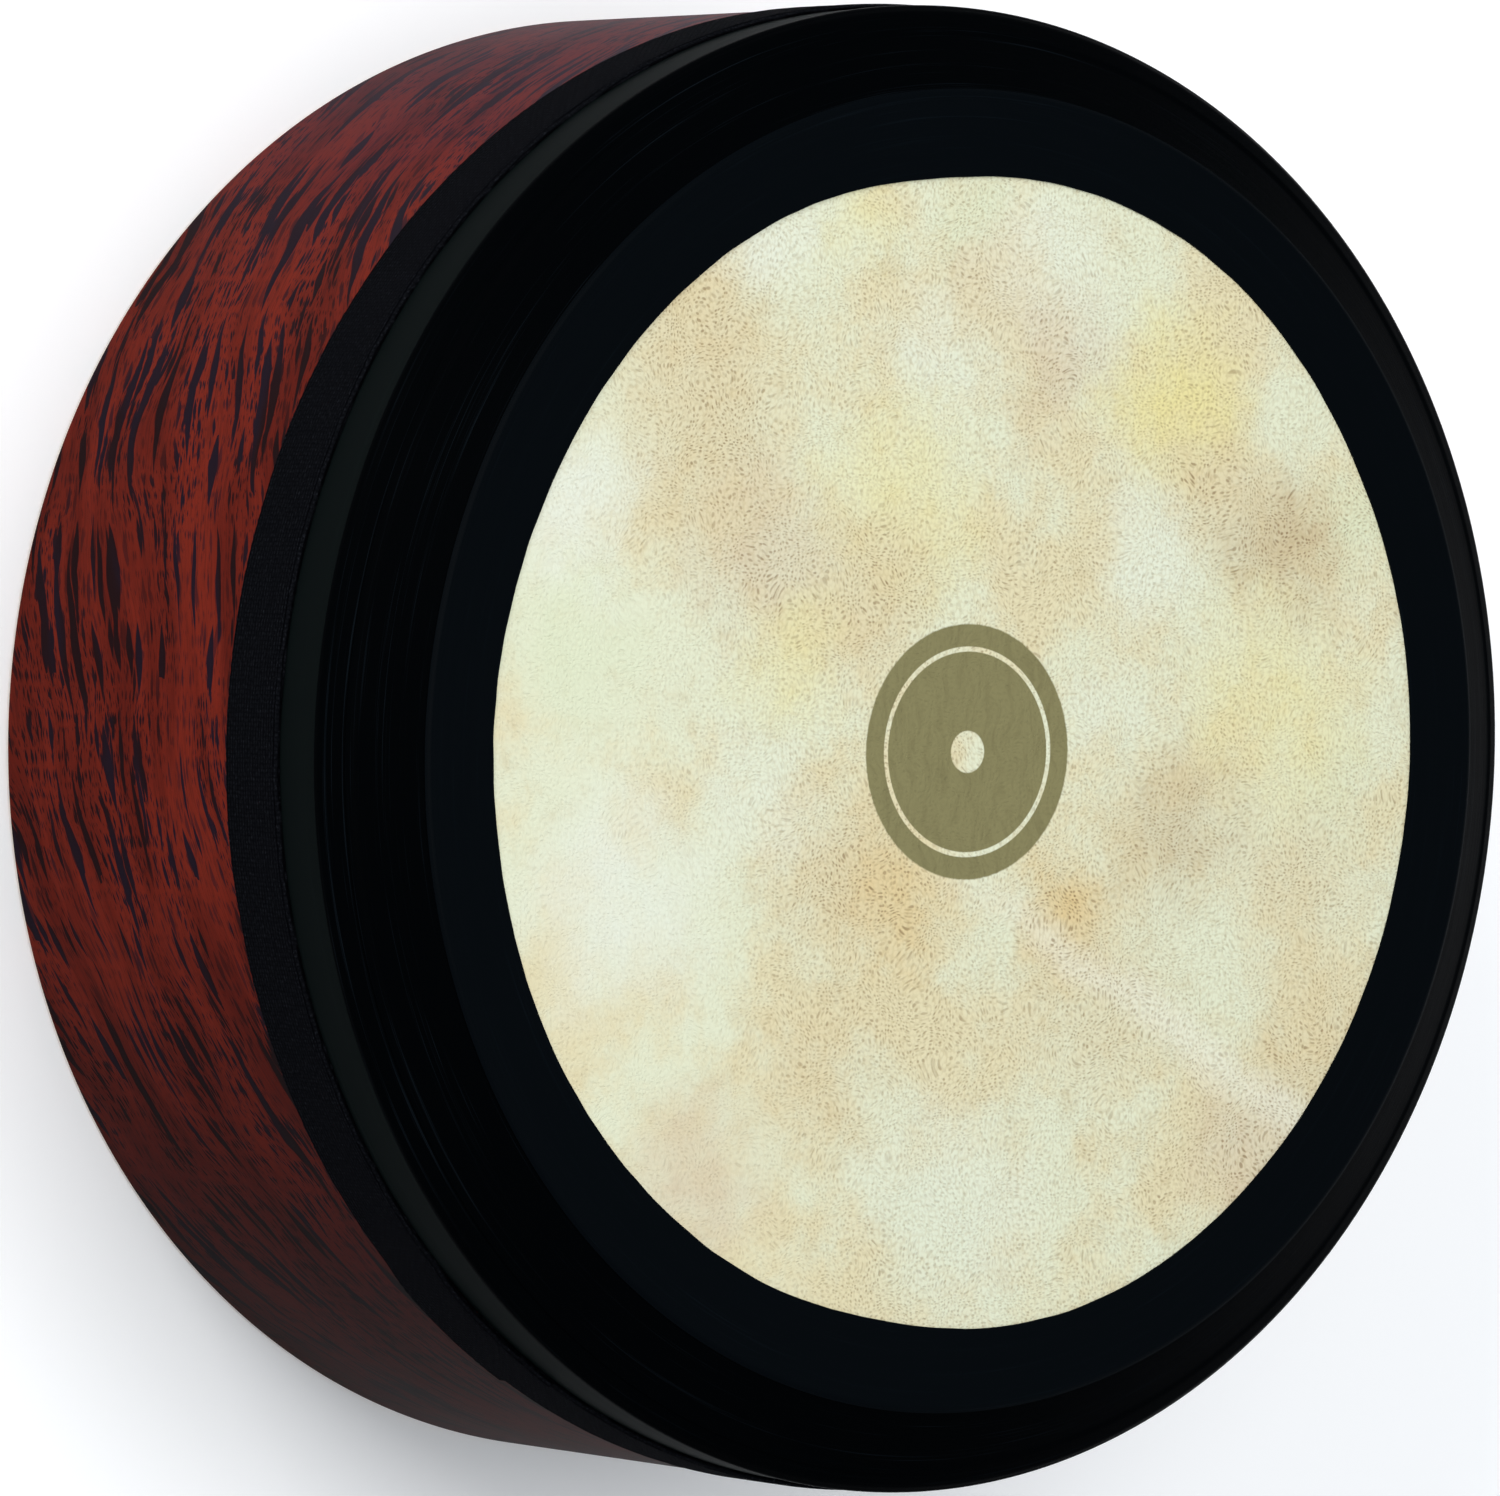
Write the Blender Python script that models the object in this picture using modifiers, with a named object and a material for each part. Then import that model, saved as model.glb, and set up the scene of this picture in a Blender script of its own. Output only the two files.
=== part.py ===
"""A tunable deep-rim frame drum, laid on its open rear rim.

A bent-ply shell carries a goatskin head. A tone ring slides inside the shell and lifts the skin, so that
the head stands as a low cone above the rim. Six tuner stations inside the shell push the ring up: each is
an angle bracket with a threaded bush, a bolt that is turned from the open back, and a pressure plate under
the ring. Black tapes cover the skin's edge, its shoulder and its skirt, and a cloth band hides the joint.

Metres, +Z out of the head, with the origin at the centre of the rear rim.
"""

import math

import bmesh
import bpy
from mathutils import Matrix, Vector

# ---- Driving dimensions ----

SHELL_RADIUS = 0.178
SHELL_WALL = 0.010
HEIGHT = 0.1462  # rear rim to the top of the tape on the head
EDGE_ROUND = 0.0015  # rear rim of the shell
GAP = 0.0003  # between neighbouring pieces
RING_STEPS = 64  # facets round every large turned piece

# The head's outer line over its tapes: flat, shoulder, skirt
BREAK_RADIUS = 0.1564  # where the flat skin turns down over the tone ring
SHOULDER_DROP = 0.0132  # flat skin down to the rim's corner
SHOULDER_RADIUS = 0.1775
SKIRT_DROP = 0.0307  # flat skin down to the skirt's end
SKIRT_RADIUS = 0.1774
BREAK_ROUND = 0.0028
RIM_ROUND = 0.0038

SKIN = 0.0009
TAPE = 0.00035
TAPE_GAP = 0.00025
FACE_TAPE_INNER = 0.1380
SHOULDER_TAPE_WIDTH = 0.0182  # of the upper shoulder tape, from the break down
SKIN_DEPTH = TAPE + TAPE_GAP  # of the skin's outer face below the tapes' outer face

CLOTH = 0.0004
CLOTH_GAP = 0.00025
CLOTH_WIDTH = 0.0196

# The tone ring
RING_CLEARANCE = 0.0008
RING_INNER = 0.1540
RING_BOTTOM = 0.1000
RING_PEAK_ROUND = 0.0010
RING_RELIEF = 0.0010  # how far its bevel falls away from the skin at the outside

# The tuner stations
STATIONS = 6
BOLT_CIRCLE = 0.1585
FIRST_STATION = math.radians(30)
PLATE = 0.0020
PLATE_LENGTH, PLATE_WIDTH = 0.028, 0.011
PLATE_SCREW_OFF = 0.0095
DIMPLE_RADIUS, DIMPLE_DEPTH = 0.0036, 0.0006
BRACKET = 0.0025
BRACKET_WIDTH = 0.030
BRACKET_TOP = 0.0840
BRACKET_HEIGHT = 0.028
BRACKET_REACH = 0.0155
BRACKET_BEND = 0.0045
CORNER_ROUND = 0.0045
BRACKET_SCREW_OFF = 0.0090
BRACKET_SCREW_DROP = 0.0185
BUSH_RADIUS, BUSH_FLANGE_RADIUS, BUSH_FLANGE = 0.0041, 0.0058, 0.0020
BUSH_BELOW = 0.0050  # of the bush that shows under the bracket's shelf
BOLT_RADIUS = 0.0030
BOLT_LENGTH = 0.042
BOLT_HEAD_RADIUS, BOLT_HEAD = 0.0050, 0.0060
SOCKET_RADIUS, SOCKET_DEPTH = 0.0029, 0.0034
WOOD_SCREW_RADIUS, WOOD_SCREW_LENGTH = 0.0019, 0.0100
WOOD_SCREW_HEAD_RADIUS, WOOD_SCREW_HEAD = 0.0038, 0.0024
PLATE_SCREW_RADIUS, PLATE_SCREW_LENGTH = 0.0014, 0.0090
PLATE_SCREW_HEAD_RADIUS, PLATE_SCREW_HEAD = 0.0030, 0.0016
SCREW_STEPS = 8
BOLT_STEPS = 10

# ---- Derived places ----

RABBET = HEIGHT - SKIRT_DROP - GAP  # the step in the shell that the skirt ends at

SHELL_INNER = SHELL_RADIUS - SHELL_WALL
RING_OUTER = SHELL_INNER - RING_CLEARANCE
PLATE_CIRCLE = (RING_INNER + RING_OUTER) / 2
PLATE_TOP = RING_BOTTOM - GAP
PLATE_BOTTOM = PLATE_TOP - PLATE
BOLT_TIP = PLATE_BOTTOM + DIMPLE_DEPTH - GAP
# The bracket is flat and the wall is round, so its two upright edges meet the wall first.
BRACKET_BACK = math.sqrt(SHELL_INNER**2 - (BRACKET_WIDTH / 2) ** 2) - 2 * GAP

# ---- Scene, collections and materials ----

for old in list(bpy.data.objects):
    bpy.data.objects.remove(old, do_unlink=True)

drum = bpy.data.collections.new("frame_drum")
cutters = bpy.data.collections.new("cutters")
for collection in (drum, cutters):
    bpy.context.scene.collection.children.link(collection)


def material(name, color, roughness, metallic=0.0):
    made = bpy.data.materials.new(name)
    made.use_nodes = True
    shader = made.node_tree.nodes["Principled BSDF"]
    shader.inputs["Base Color"].default_value = (*color, 1.0)
    shader.inputs["Roughness"].default_value = roughness
    shader.inputs["Metallic"].default_value = metallic
    return made


red_ply = material("red_ply", (0.29, 0.030, 0.014), 0.35)
bare_ply = material("bare_ply", (0.56, 0.36, 0.19), 0.60)
goatskin = material("goatskin", (0.80, 0.83, 0.70), 0.55)
black_vinyl = material("black_vinyl", (0.008, 0.010, 0.011), 0.35)
black_cloth = material("black_cloth", (0.004, 0.004, 0.005), 0.90)
zinc_steel = material("zinc_steel", (0.55, 0.56, 0.58), 0.35, 1.0)
black_steel = material("black_steel", (0.04, 0.04, 0.045), 0.40, 1.0)
brass = material("brass", (0.72, 0.50, 0.20), 0.30, 1.0)


# ---- Modelling helpers ----


def place(name, mesh, finish, matrix=None, parent=None):
    """A sub-part's object, with its own material."""
    made = bpy.data.objects.new(name, mesh)
    if not mesh.materials:
        mesh.materials.append(finish)
    drum.objects.link(made)
    made.parent = parent
    made.matrix_world = matrix or Matrix()
    return made


def profile_mesh(name, points, closed):
    """A chain of edges through (radius, height) points in the XZ plane."""
    mesh = bpy.data.meshes.new(name)
    edges = [(i, i + 1) for i in range(len(points) - 1)]
    if closed:
        edges.append((len(points) - 1, 0))
    mesh.from_pydata([(radius, 0.0, height) for radius, height in points], edges, [])
    return mesh


def turn(made, steps):
    """A full turn of the object's profile about Z."""
    screw = made.modifiers.new("turn", "SCREW")
    screw.axis = "Z"
    screw.angle = 2 * math.pi
    screw.steps = screw.render_steps = steps
    screw.use_merge_vertices = True
    screw.merge_threshold = 0.00001
    screw.use_smooth_shade = True
    return made


def turned(name, points, finish, closed=True, steps=RING_STEPS):
    return turn(place(name, profile_mesh(name, points, closed), finish), steps)


def turned_sheet(name, points, thickness, finish):
    """A turned open line, thickened towards the drum's inside."""
    made = turned(name, points, finish, closed=False)
    solidify = made.modifiers.new("thickness", "SOLIDIFY")
    solidify.thickness = thickness
    solidify.offset = -1.0
    solidify.use_even_offset = True
    return made


def finished_mesh(made):
    """The object's mesh with its modifiers applied. The object itself is removed."""
    bpy.context.view_layer.update()
    graph = bpy.context.evaluated_depsgraph_get()
    mesh = bpy.data.meshes.new_from_object(made.evaluated_get(graph))
    mesh.name = made.name
    bpy.data.objects.remove(made, do_unlink=True)
    return mesh


def cut(made, cutter):
    boolean = made.modifiers.new(f"cut_{cutter.name}", "BOOLEAN")
    boolean.operation = "DIFFERENCE"
    boolean.object = cutter
    return made


def round_cutter(name, places, radius, depth, sides=10, end_radius=None):
    """One cutter of cylinders or cones. Each starts at its matrix's origin and runs along its +Z."""
    shape = bmesh.new()
    for matrix in places:
        bmesh.ops.create_cone(
            shape,
            cap_ends=True,
            segments=sides,
            radius1=radius,
            radius2=radius if end_radius is None else end_radius,
            depth=depth,
            matrix=matrix @ Matrix.Translation((0, 0, depth / 2)),
        )
    mesh = bpy.data.meshes.new(name)
    shape.to_mesh(mesh)
    shape.free()
    made = bpy.data.objects.new(name, mesh)
    made.hide_render = True
    made.display_type = "WIRE"
    cutters.objects.link(made)
    return made


def arc(centre, radius, start, end, steps):
    """Points (radius, height) on an arc, from a start to an end angle in degrees."""
    angles = [math.radians(start + (end - start) * i / steps) for i in range(steps + 1)]
    return [(centre[0] + radius * math.cos(a), centre[1] + radius * math.sin(a)) for a in angles]


# ---- The head's line ----


def head_line(depth):
    """The head's flat, shoulder and skirt at a depth below the tapes' outer face, as its four corners."""
    corners = [
        Vector((0.0, HEIGHT)),
        Vector((BREAK_RADIUS, HEIGHT)),
        Vector((SHOULDER_RADIUS, HEIGHT - SHOULDER_DROP)),
        Vector((SKIRT_RADIUS, HEIGHT - SKIRT_DROP)),
    ]
    runs = [(b - a).normalized() for a, b in zip(corners, corners[1:])]
    inward = [Vector((run.y, -run.x)) for run in runs]
    line = [corners[0] + depth * inward[0]]
    for corner, before, after in zip(corners[1:], inward, inward[1:]):
        line.append(corner + depth * (before + after) / (1 + before.dot(after)))
    return line + [corners[-1] + depth * inward[-1]]


def rounded_head_line(depth, steps=2):
    """The same line with its two corners rounded, on arcs that share their centres at every depth."""
    line = head_line(depth)
    out = [line[0]]
    for i, outer_round in ((1, BREAK_ROUND), (2, RIM_ROUND)):
        before = (line[i - 1] - line[i]).normalized()
        after = (line[i + 1] - line[i]).normalized()
        half = before.angle(after) / 2
        radius = outer_round - depth
        centre = line[i] + (before + after).normalized() * radius / math.sin(half)
        start = line[i] + before * radius / math.tan(half) - centre
        turn_by = math.pi - 2 * half
        out += [centre + Matrix.Rotation(-turn_by * k / steps, 2) @ start for k in range(steps + 1)]
    return out + [line[-1]]


def stretch(line, start, end):
    """The part of a line between two distances along it."""
    out, passed = [], 0.0
    for a, b in zip(line, line[1:]):
        length = (b - a).length
        for along in (start, end):
            if passed <= along < passed + length:
                out.append((along, a.lerp(b, (along - passed) / length)))
        passed += length
        if start < passed < end:
            out.append((passed, b))
    return [point for _, point in sorted(out, key=lambda pair: pair[0])]


def line_length(line):
    return sum((b - a).length for a, b in zip(line, line[1:]))


# ---- Skin, tapes and cloth band ----


def build_head():
    turned_sheet("goatskin_head", rounded_head_line(SKIN_DEPTH), SKIN, goatskin)


def build_tapes():
    """Four tapes edge to edge over the skin: on the face, two on the shoulder, and one on the skirt."""
    line = rounded_head_line(0.0)
    total = line_length(line)
    skirt = total - (SKIRT_DROP - SHOULDER_DROP) + RIM_ROUND
    meeting = BREAK_RADIUS + SHOULDER_TAPE_WIDTH
    for name, start, end in (
        ("face_tape", FACE_TAPE_INNER, BREAK_RADIUS),
        ("upper_shoulder_tape", BREAK_RADIUS + GAP, meeting),
        ("lower_shoulder_tape", meeting + GAP, skirt),
        ("side_tape", skirt + GAP, total * 0.99999),
    ):
        turned_sheet(name, stretch(line, start, end), TAPE, black_vinyl)


def build_cloth_band():
    outside = SHELL_RADIUS + CLOTH_GAP + CLOTH
    turned_sheet("cloth_band", [(outside, RABBET), (outside, RABBET - CLOTH_WIDTH)], CLOTH, black_cloth)


# ---- Shell and tone ring ----


def station(i):
    """The turn that carries a piece from the +X side to tuner station i."""
    return Matrix.Rotation(FIRST_STATION + 2 * math.pi * i / STATIONS, 4, "Z")


def bracket_screw_places():
    """For each station and side, where a bracket screw's head meets the bracket, with +Z into the wall."""
    into_wall = Matrix.Rotation(math.radians(90), 4, "Y")
    inner_face, height = BRACKET_BACK - BRACKET, BRACKET_TOP - BRACKET_SCREW_DROP
    return [
        station(i) @ Matrix.Translation((inner_face, side * BRACKET_SCREW_OFF, height)) @ into_wall
        for i in range(STATIONS)
        for side in (-1, 1)
    ]


def plate_screw_places():
    """For each station and side, where a plate screw's head lies, with +Z into the tone ring."""
    return [
        station(i) @ Matrix.Translation((PLATE_CIRCLE, side * PLATE_SCREW_OFF, PLATE_BOTTOM))
        for i in range(STATIONS)
        for side in (-1, 1)
    ]


def build_shell():
    """The outer hoop, with a rabbet round its front for the skin's skirt and its tape."""
    seat = SKIN_DEPTH + SKIN + GAP
    centre = head_line(RIM_ROUND)[2]
    rim_round = RIM_ROUND - seat
    seat_radius = head_line(seat)[3].x
    chamfer = 0.001
    outline = [
        (SHELL_INNER, centre.y + rim_round - chamfer),
        (SHELL_INNER + chamfer, centre.y + rim_round),
        *arc(centre, rim_round, 90, 0, 2),
        (seat_radius, RABBET),
        (SHELL_RADIUS, RABBET),
        *arc((SHELL_RADIUS - EDGE_ROUND, EDGE_ROUND), EDGE_ROUND, 0, -90, 2),
        *arc((SHELL_INNER + EDGE_ROUND, EDGE_ROUND), EDGE_ROUND, -90, -180, 2),
    ]
    shell = turned("shell", outline, red_ply)
    hole_radius = WOOD_SCREW_RADIUS + GAP
    hole_depth = WOOD_SCREW_LENGTH + GAP
    cut(shell, round_cutter("bracket_screw_holes", bracket_screw_places(), hole_radius, hole_depth))


def build_tone_ring():
    """The inner hoop: a narrow rounded peak under the skin, and a bevel that falls away outside it."""
    under_skin = SKIN_DEPTH + SKIN + GAP
    peak = head_line(under_skin + RING_PEAK_ROUND)[1]
    bevel_end = head_line(under_skin + RING_RELIEF)
    slope = (bevel_end[2] - bevel_end[1]).normalized()
    outer_top = bevel_end[1] + slope * (RING_OUTER - bevel_end[1].x) / slope.x
    chamfer = 0.001
    outline = [
        (RING_INNER, peak.y - 0.004),
        *arc(peak, RING_PEAK_ROUND, 120, 60, 2),
        (RING_OUTER - chamfer, outer_top.y),
        (RING_OUTER, outer_top.y - chamfer),
        (RING_OUTER, RING_BOTTOM + chamfer),
        (RING_OUTER - chamfer, RING_BOTTOM),
        (RING_INNER + chamfer, RING_BOTTOM),
        (RING_INNER, RING_BOTTOM + chamfer),
    ]
    ring = turned("tone_ring", outline, bare_ply)
    hole_radius = PLATE_SCREW_RADIUS + GAP
    hole_depth = PLATE_SCREW_LENGTH + GAP
    cut(ring, round_cutter("plate_screw_holes", plate_screw_places(), hole_radius, hole_depth))


# ---- Tuner hardware ----


def bracket_mesh():
    """A bent steel angle at the +X side: a flange against the wall and a shelf with the bush's hole."""
    bent = bmesh.new()
    half = BRACKET_WIDTH / 2
    chain = [
        bent.verts.new((BRACKET_BACK, -half, BRACKET_TOP - BRACKET_HEIGHT)),
        bent.verts.new((BRACKET_BACK, -half, BRACKET_TOP)),
        bent.verts.new((BRACKET_BACK - BRACKET_REACH, -half, BRACKET_TOP)),
    ]
    edges = [bent.edges.new(pair) for pair in zip(chain, chain[1:])]
    swept = bmesh.ops.extrude_edge_only(bent, edges=edges)["geom"]
    moved = [item for item in swept if isinstance(item, bmesh.types.BMVert)]
    bmesh.ops.translate(bent, verts=moved, vec=(0, BRACKET_WIDTH, 0))
    ends = [v for v in bent.verts if len(v.link_faces) == 1]
    bend = [e for e in bent.edges if len(e.link_faces) == 2]
    bmesh.ops.bevel(
        bent, geom=ends, affect="VERTICES", offset=CORNER_ROUND, segments=2, profile=0.5, material=-1
    )
    bmesh.ops.bevel(
        bent, geom=bend, affect="EDGES", offset=BRACKET_BEND, segments=3, profile=0.5, material=-1
    )
    bmesh.ops.recalc_face_normals(bent, faces=bent.faces)
    if max(bent.faces, key=lambda face: abs(face.normal.z)).normal.z < 0:
        bmesh.ops.reverse_faces(bent, faces=bent.faces)
    mesh = bpy.data.meshes.new("tuner_bracket")
    bent.to_mesh(mesh)
    bent.free()
    made = place("tuner_bracket", mesh, zinc_steel)
    solidify = made.modifiers.new("thickness", "SOLIDIFY")
    solidify.thickness = BRACKET
    solidify.offset = -1.0
    solidify.use_even_offset = True
    first_two = [station(0).inverted() @ matrix for matrix in bracket_screw_places()[:2]]
    back = Matrix.Translation((0, 0, -BRACKET))
    cut(
        made,
        round_cutter("flange_holes", [m @ back for m in first_two], WOOD_SCREW_RADIUS + GAP, 3 * BRACKET),
    )
    shelf_hole = Matrix.Translation((BOLT_CIRCLE, 0, BRACKET_TOP - 2 * BRACKET))
    cut(made, round_cutter("shelf_hole", [shelf_hole], BUSH_RADIUS + GAP, 3 * BRACKET))
    return finished_mesh(made)


def bush_mesh():
    """A flanged brass bush. Its flange rests on the shelf, which takes the bolt's push."""
    bore = BOLT_RADIUS + GAP
    top = BRACKET_TOP + GAP + BUSH_FLANGE
    outline = [
        (bore, top),
        (BUSH_FLANGE_RADIUS - 0.0006, top),
        (BUSH_FLANGE_RADIUS, top - 0.0006),
        (BUSH_FLANGE_RADIUS, BRACKET_TOP + GAP),
        (BUSH_RADIUS, BRACKET_TOP + GAP),
        (BUSH_RADIUS, BRACKET_TOP - BRACKET - BUSH_BELOW),
        (bore, BRACKET_TOP - BRACKET - BUSH_BELOW),
    ]
    mesh = finished_mesh(turned("thread_bush", outline, brass, steps=BOLT_STEPS))
    mesh.transform(Matrix.Translation((BOLT_CIRCLE, 0, 0)))
    return mesh


def plate_mesh():
    """A steel plate with round corners, a dimple for the bolt's tip and two countersunk holes."""
    slab = bmesh.new()
    size = Matrix.Diagonal((PLATE_WIDTH, PLATE_LENGTH, PLATE, 1))
    at = Matrix.Translation((PLATE_CIRCLE, 0, PLATE_TOP - PLATE / 2))
    bmesh.ops.create_cube(slab, size=1.0, matrix=at @ size)
    upright = [e for e in slab.edges if abs(e.verts[0].co.z - e.verts[1].co.z) > PLATE / 2]
    bmesh.ops.bevel(
        slab, geom=upright, affect="EDGES", offset=CORNER_ROUND, segments=2, profile=0.5, material=-1
    )
    mesh = bpy.data.meshes.new("pressure_plate")
    slab.to_mesh(mesh)
    slab.free()
    made = place("pressure_plate", mesh, zinc_steel)
    below = Matrix.Translation((BOLT_CIRCLE, 0, PLATE_BOTTOM - PLATE))
    cut(made, round_cutter("dimple", [below], DIMPLE_RADIUS, PLATE + DIMPLE_DEPTH))
    screws = [station(0).inverted() @ matrix for matrix in plate_screw_places()[:2]]
    cut(made, round_cutter("plate_holes", screws, PLATE_SCREW_RADIUS + GAP, 2 * PLATE))
    slope = (PLATE_SCREW_HEAD_RADIUS - PLATE_SCREW_RADIUS) / PLATE_SCREW_HEAD
    lead = Matrix.Translation((0, 0, -GAP))
    cut(
        made,
        round_cutter(
            "countersinks",
            [matrix @ lead for matrix in screws],
            PLATE_SCREW_HEAD_RADIUS + GAP + slope * GAP,
            PLATE_SCREW_HEAD + GAP,
            end_radius=PLATE_SCREW_RADIUS + GAP,
        ),
    )
    return finished_mesh(made)


def bolt_mesh():
    """A socket-head bolt round its own axis, with its rounded tip at the origin and its head below."""
    head_top = -BOLT_LENGTH
    head_bottom = head_top - BOLT_HEAD
    outline = [
        (0.0, 0.0),
        (0.0016, -0.0004),
        (BOLT_RADIUS, -0.0020),
        (BOLT_RADIUS, head_top),
        (BOLT_HEAD_RADIUS, head_top),
        (BOLT_HEAD_RADIUS, head_bottom + 0.0005),
        (BOLT_HEAD_RADIUS - 0.0005, head_bottom),
        (0.0, head_bottom),
    ]
    made = turned("tuning_bolt", outline, black_steel, closed=False, steps=BOLT_STEPS)
    mouth = Matrix.Translation((0, 0, head_bottom - BOLT_HEAD))
    cut(made, round_cutter("hex_socket", [mouth], SOCKET_RADIUS, BOLT_HEAD + SOCKET_DEPTH, sides=6))
    return finished_mesh(made)


def wood_screw_mesh():
    """A pan-head screw with its point along +Z and the head's underside at the origin."""
    outline = [
        (0.0, WOOD_SCREW_LENGTH),
        (WOOD_SCREW_RADIUS, WOOD_SCREW_LENGTH - 0.003),
        (WOOD_SCREW_RADIUS, -GAP),
        (WOOD_SCREW_HEAD_RADIUS, -GAP),
        (WOOD_SCREW_HEAD_RADIUS, -WOOD_SCREW_HEAD / 2),
        (WOOD_SCREW_HEAD_RADIUS * 0.6, -WOOD_SCREW_HEAD),
        (0.0, -WOOD_SCREW_HEAD),
    ]
    return finished_mesh(turned("wood_screw", outline, zinc_steel, closed=False, steps=SCREW_STEPS))


def plate_screw_mesh():
    """A small countersunk screw with its point along +Z and its flat head at the origin."""
    outline = [
        (0.0, PLATE_SCREW_LENGTH),
        (PLATE_SCREW_RADIUS, PLATE_SCREW_LENGTH - 0.002),
        (PLATE_SCREW_RADIUS, PLATE_SCREW_HEAD),
        (PLATE_SCREW_HEAD_RADIUS, 0.0),
        (0.0, 0.0),
    ]
    return finished_mesh(turned("plate_screw", outline, brass, closed=False, steps=SCREW_STEPS))


def build_stations():
    bracket, bush, plate, bolt = bracket_mesh(), bush_mesh(), plate_mesh(), bolt_mesh()
    wood_screw, plate_screw = wood_screw_mesh(), plate_screw_mesh()
    for i in range(STATIONS):
        number = i + 1
        place(f"tuner_bracket_{number}", bracket, zinc_steel, station(i))
        place(f"thread_bush_{number}", bush, brass, station(i))
        place(f"pressure_plate_{number}", plate, zinc_steel, station(i))
        axis = bpy.data.objects.new(f"tuning_bolt_{number}_axis", None)
        drum.objects.link(axis)
        axis.matrix_world = station(i) @ Matrix.Translation((BOLT_CIRCLE, 0, BOLT_TIP))
        bpy.context.view_layer.update()
        place(f"tuning_bolt_{number}", bolt, black_steel, axis.matrix_world.copy(), axis)
    for k, matrix in enumerate(bracket_screw_places()):
        place(f"bracket_screw_{k // 2 + 1}{'ab'[k % 2]}", wood_screw, zinc_steel, matrix)
    for k, matrix in enumerate(plate_screw_places()):
        place(f"plate_screw_{k // 2 + 1}{'ab'[k % 2]}", plate_screw, brass, matrix)


build_shell()
build_head()
build_cloth_band()
build_tapes()
build_tone_ring()
build_stations()

for made in drum.objects:
    if made.type == "MESH":
        made.data.shade_smooth()
        made.data.set_sharp_from_angle(angle=math.radians(35))
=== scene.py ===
# %% [markdown]
# # A tunable frame drum
# The drum is a deep hoop of bent plywood under a red veneer, with a goatskin glued over its front.
# Inside, a second hoop, the tone ring, can be raised on six bolts. It lifts the skin into a low cone.
# The solids, sizes and joints come ready-made as a frame. This lesson dresses that frame: every piece
# that the eye rests on is turned or bent again with a fine surface, and each finish is worked out in nodes.

# %% Load the frame
from math import asin, atan2, ceil, cos, degrees, exp, hypot, pi, radians, sin, sqrt, tan

import bmesh
import bpy
from mathutils import Matrix, Vector, noise


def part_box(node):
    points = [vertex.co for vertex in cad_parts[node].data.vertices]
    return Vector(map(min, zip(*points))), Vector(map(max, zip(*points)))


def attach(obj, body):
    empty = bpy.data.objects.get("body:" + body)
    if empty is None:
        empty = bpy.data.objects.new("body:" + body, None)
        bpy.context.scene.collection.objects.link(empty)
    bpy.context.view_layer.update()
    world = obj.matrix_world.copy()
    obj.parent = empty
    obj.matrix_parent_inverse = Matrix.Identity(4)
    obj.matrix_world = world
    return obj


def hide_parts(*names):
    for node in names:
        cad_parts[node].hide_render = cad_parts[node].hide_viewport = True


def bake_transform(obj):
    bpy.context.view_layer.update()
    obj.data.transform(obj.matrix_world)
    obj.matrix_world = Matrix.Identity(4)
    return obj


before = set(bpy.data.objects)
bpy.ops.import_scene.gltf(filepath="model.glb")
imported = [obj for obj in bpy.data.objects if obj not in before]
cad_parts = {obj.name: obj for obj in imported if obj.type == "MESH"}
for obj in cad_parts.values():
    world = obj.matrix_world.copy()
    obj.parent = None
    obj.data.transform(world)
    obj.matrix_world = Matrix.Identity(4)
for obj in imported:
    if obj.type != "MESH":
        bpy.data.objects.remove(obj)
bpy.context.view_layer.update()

MM = 0.001
STEPS = 360  # round every large turned piece


def put_in_scene(made):
    bpy.context.scene.collection.objects.link(made)
    return made


# %% [markdown]
# ## Camera, floor and light
# The camera comes first, because every later choice of tone is judged through it. The drum lies on its
# open rim. The camera stands well back with a long lens, above the head and to one side, and is rolled a
# quarter turn, so that the drum seems to stand on edge.
# In the camera's own axes the head's facing direction is known by two angles. The other two axes follow
# from it with a cross product, and their three rows are the camera's turn.

# %% Camera
LENS = 240.62
HEAD_TURN, HEAD_TILT = radians(36.768), radians(-1.657)
HEAD_CENTRE_SEEN = Vector((0.05215, -0.00094, -2.3863))  # from the camera, in its own axes

head_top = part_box("face_tape")[1].z
facing = Vector(
    (
        sin(HEAD_TURN) * cos(HEAD_TILT),
        sin(HEAD_TILT),
        cos(HEAD_TURN) * cos(HEAD_TILT),
    )
)
upright = (Vector((0, 1, 0)) - facing * facing.y).normalized()
sideways = upright.cross(facing)
camera_turn = Matrix((-upright, sideways, facing))

camera = bpy.data.objects.new("camera", bpy.data.cameras.new("camera"))
camera.data.lens = LENS
camera.data.sensor_width = 36.0
camera.data.sensor_fit = "HORIZONTAL"
camera.data.clip_start, camera.data.clip_end = 0.1, 50.0
seat = Vector((0, 0, head_top)) - camera_turn @ HEAD_CENTRE_SEEN
camera.matrix_world = Matrix.Translation(seat) @ camera_turn.to_4x4()
put_in_scene(camera)
bpy.context.scene.camera = camera
print(f"camera {seat.length:.2f} m away, {degrees(asin(seat.z / seat.length)):.0f} degrees up")

# %% [markdown]
# A studio floor can be any flat thing, but a disc with a soft pale finish has no corners to catch light.
# Broad area lights stand for softboxes. Black tape and lacquer show every lamp as a reflection, so the
# lamps stay out of the directions that the head mirrors into the camera, and a dim even sky fills in.

# %% Floor and lamps
FLOOR_RADIUS = 6.0

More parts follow.
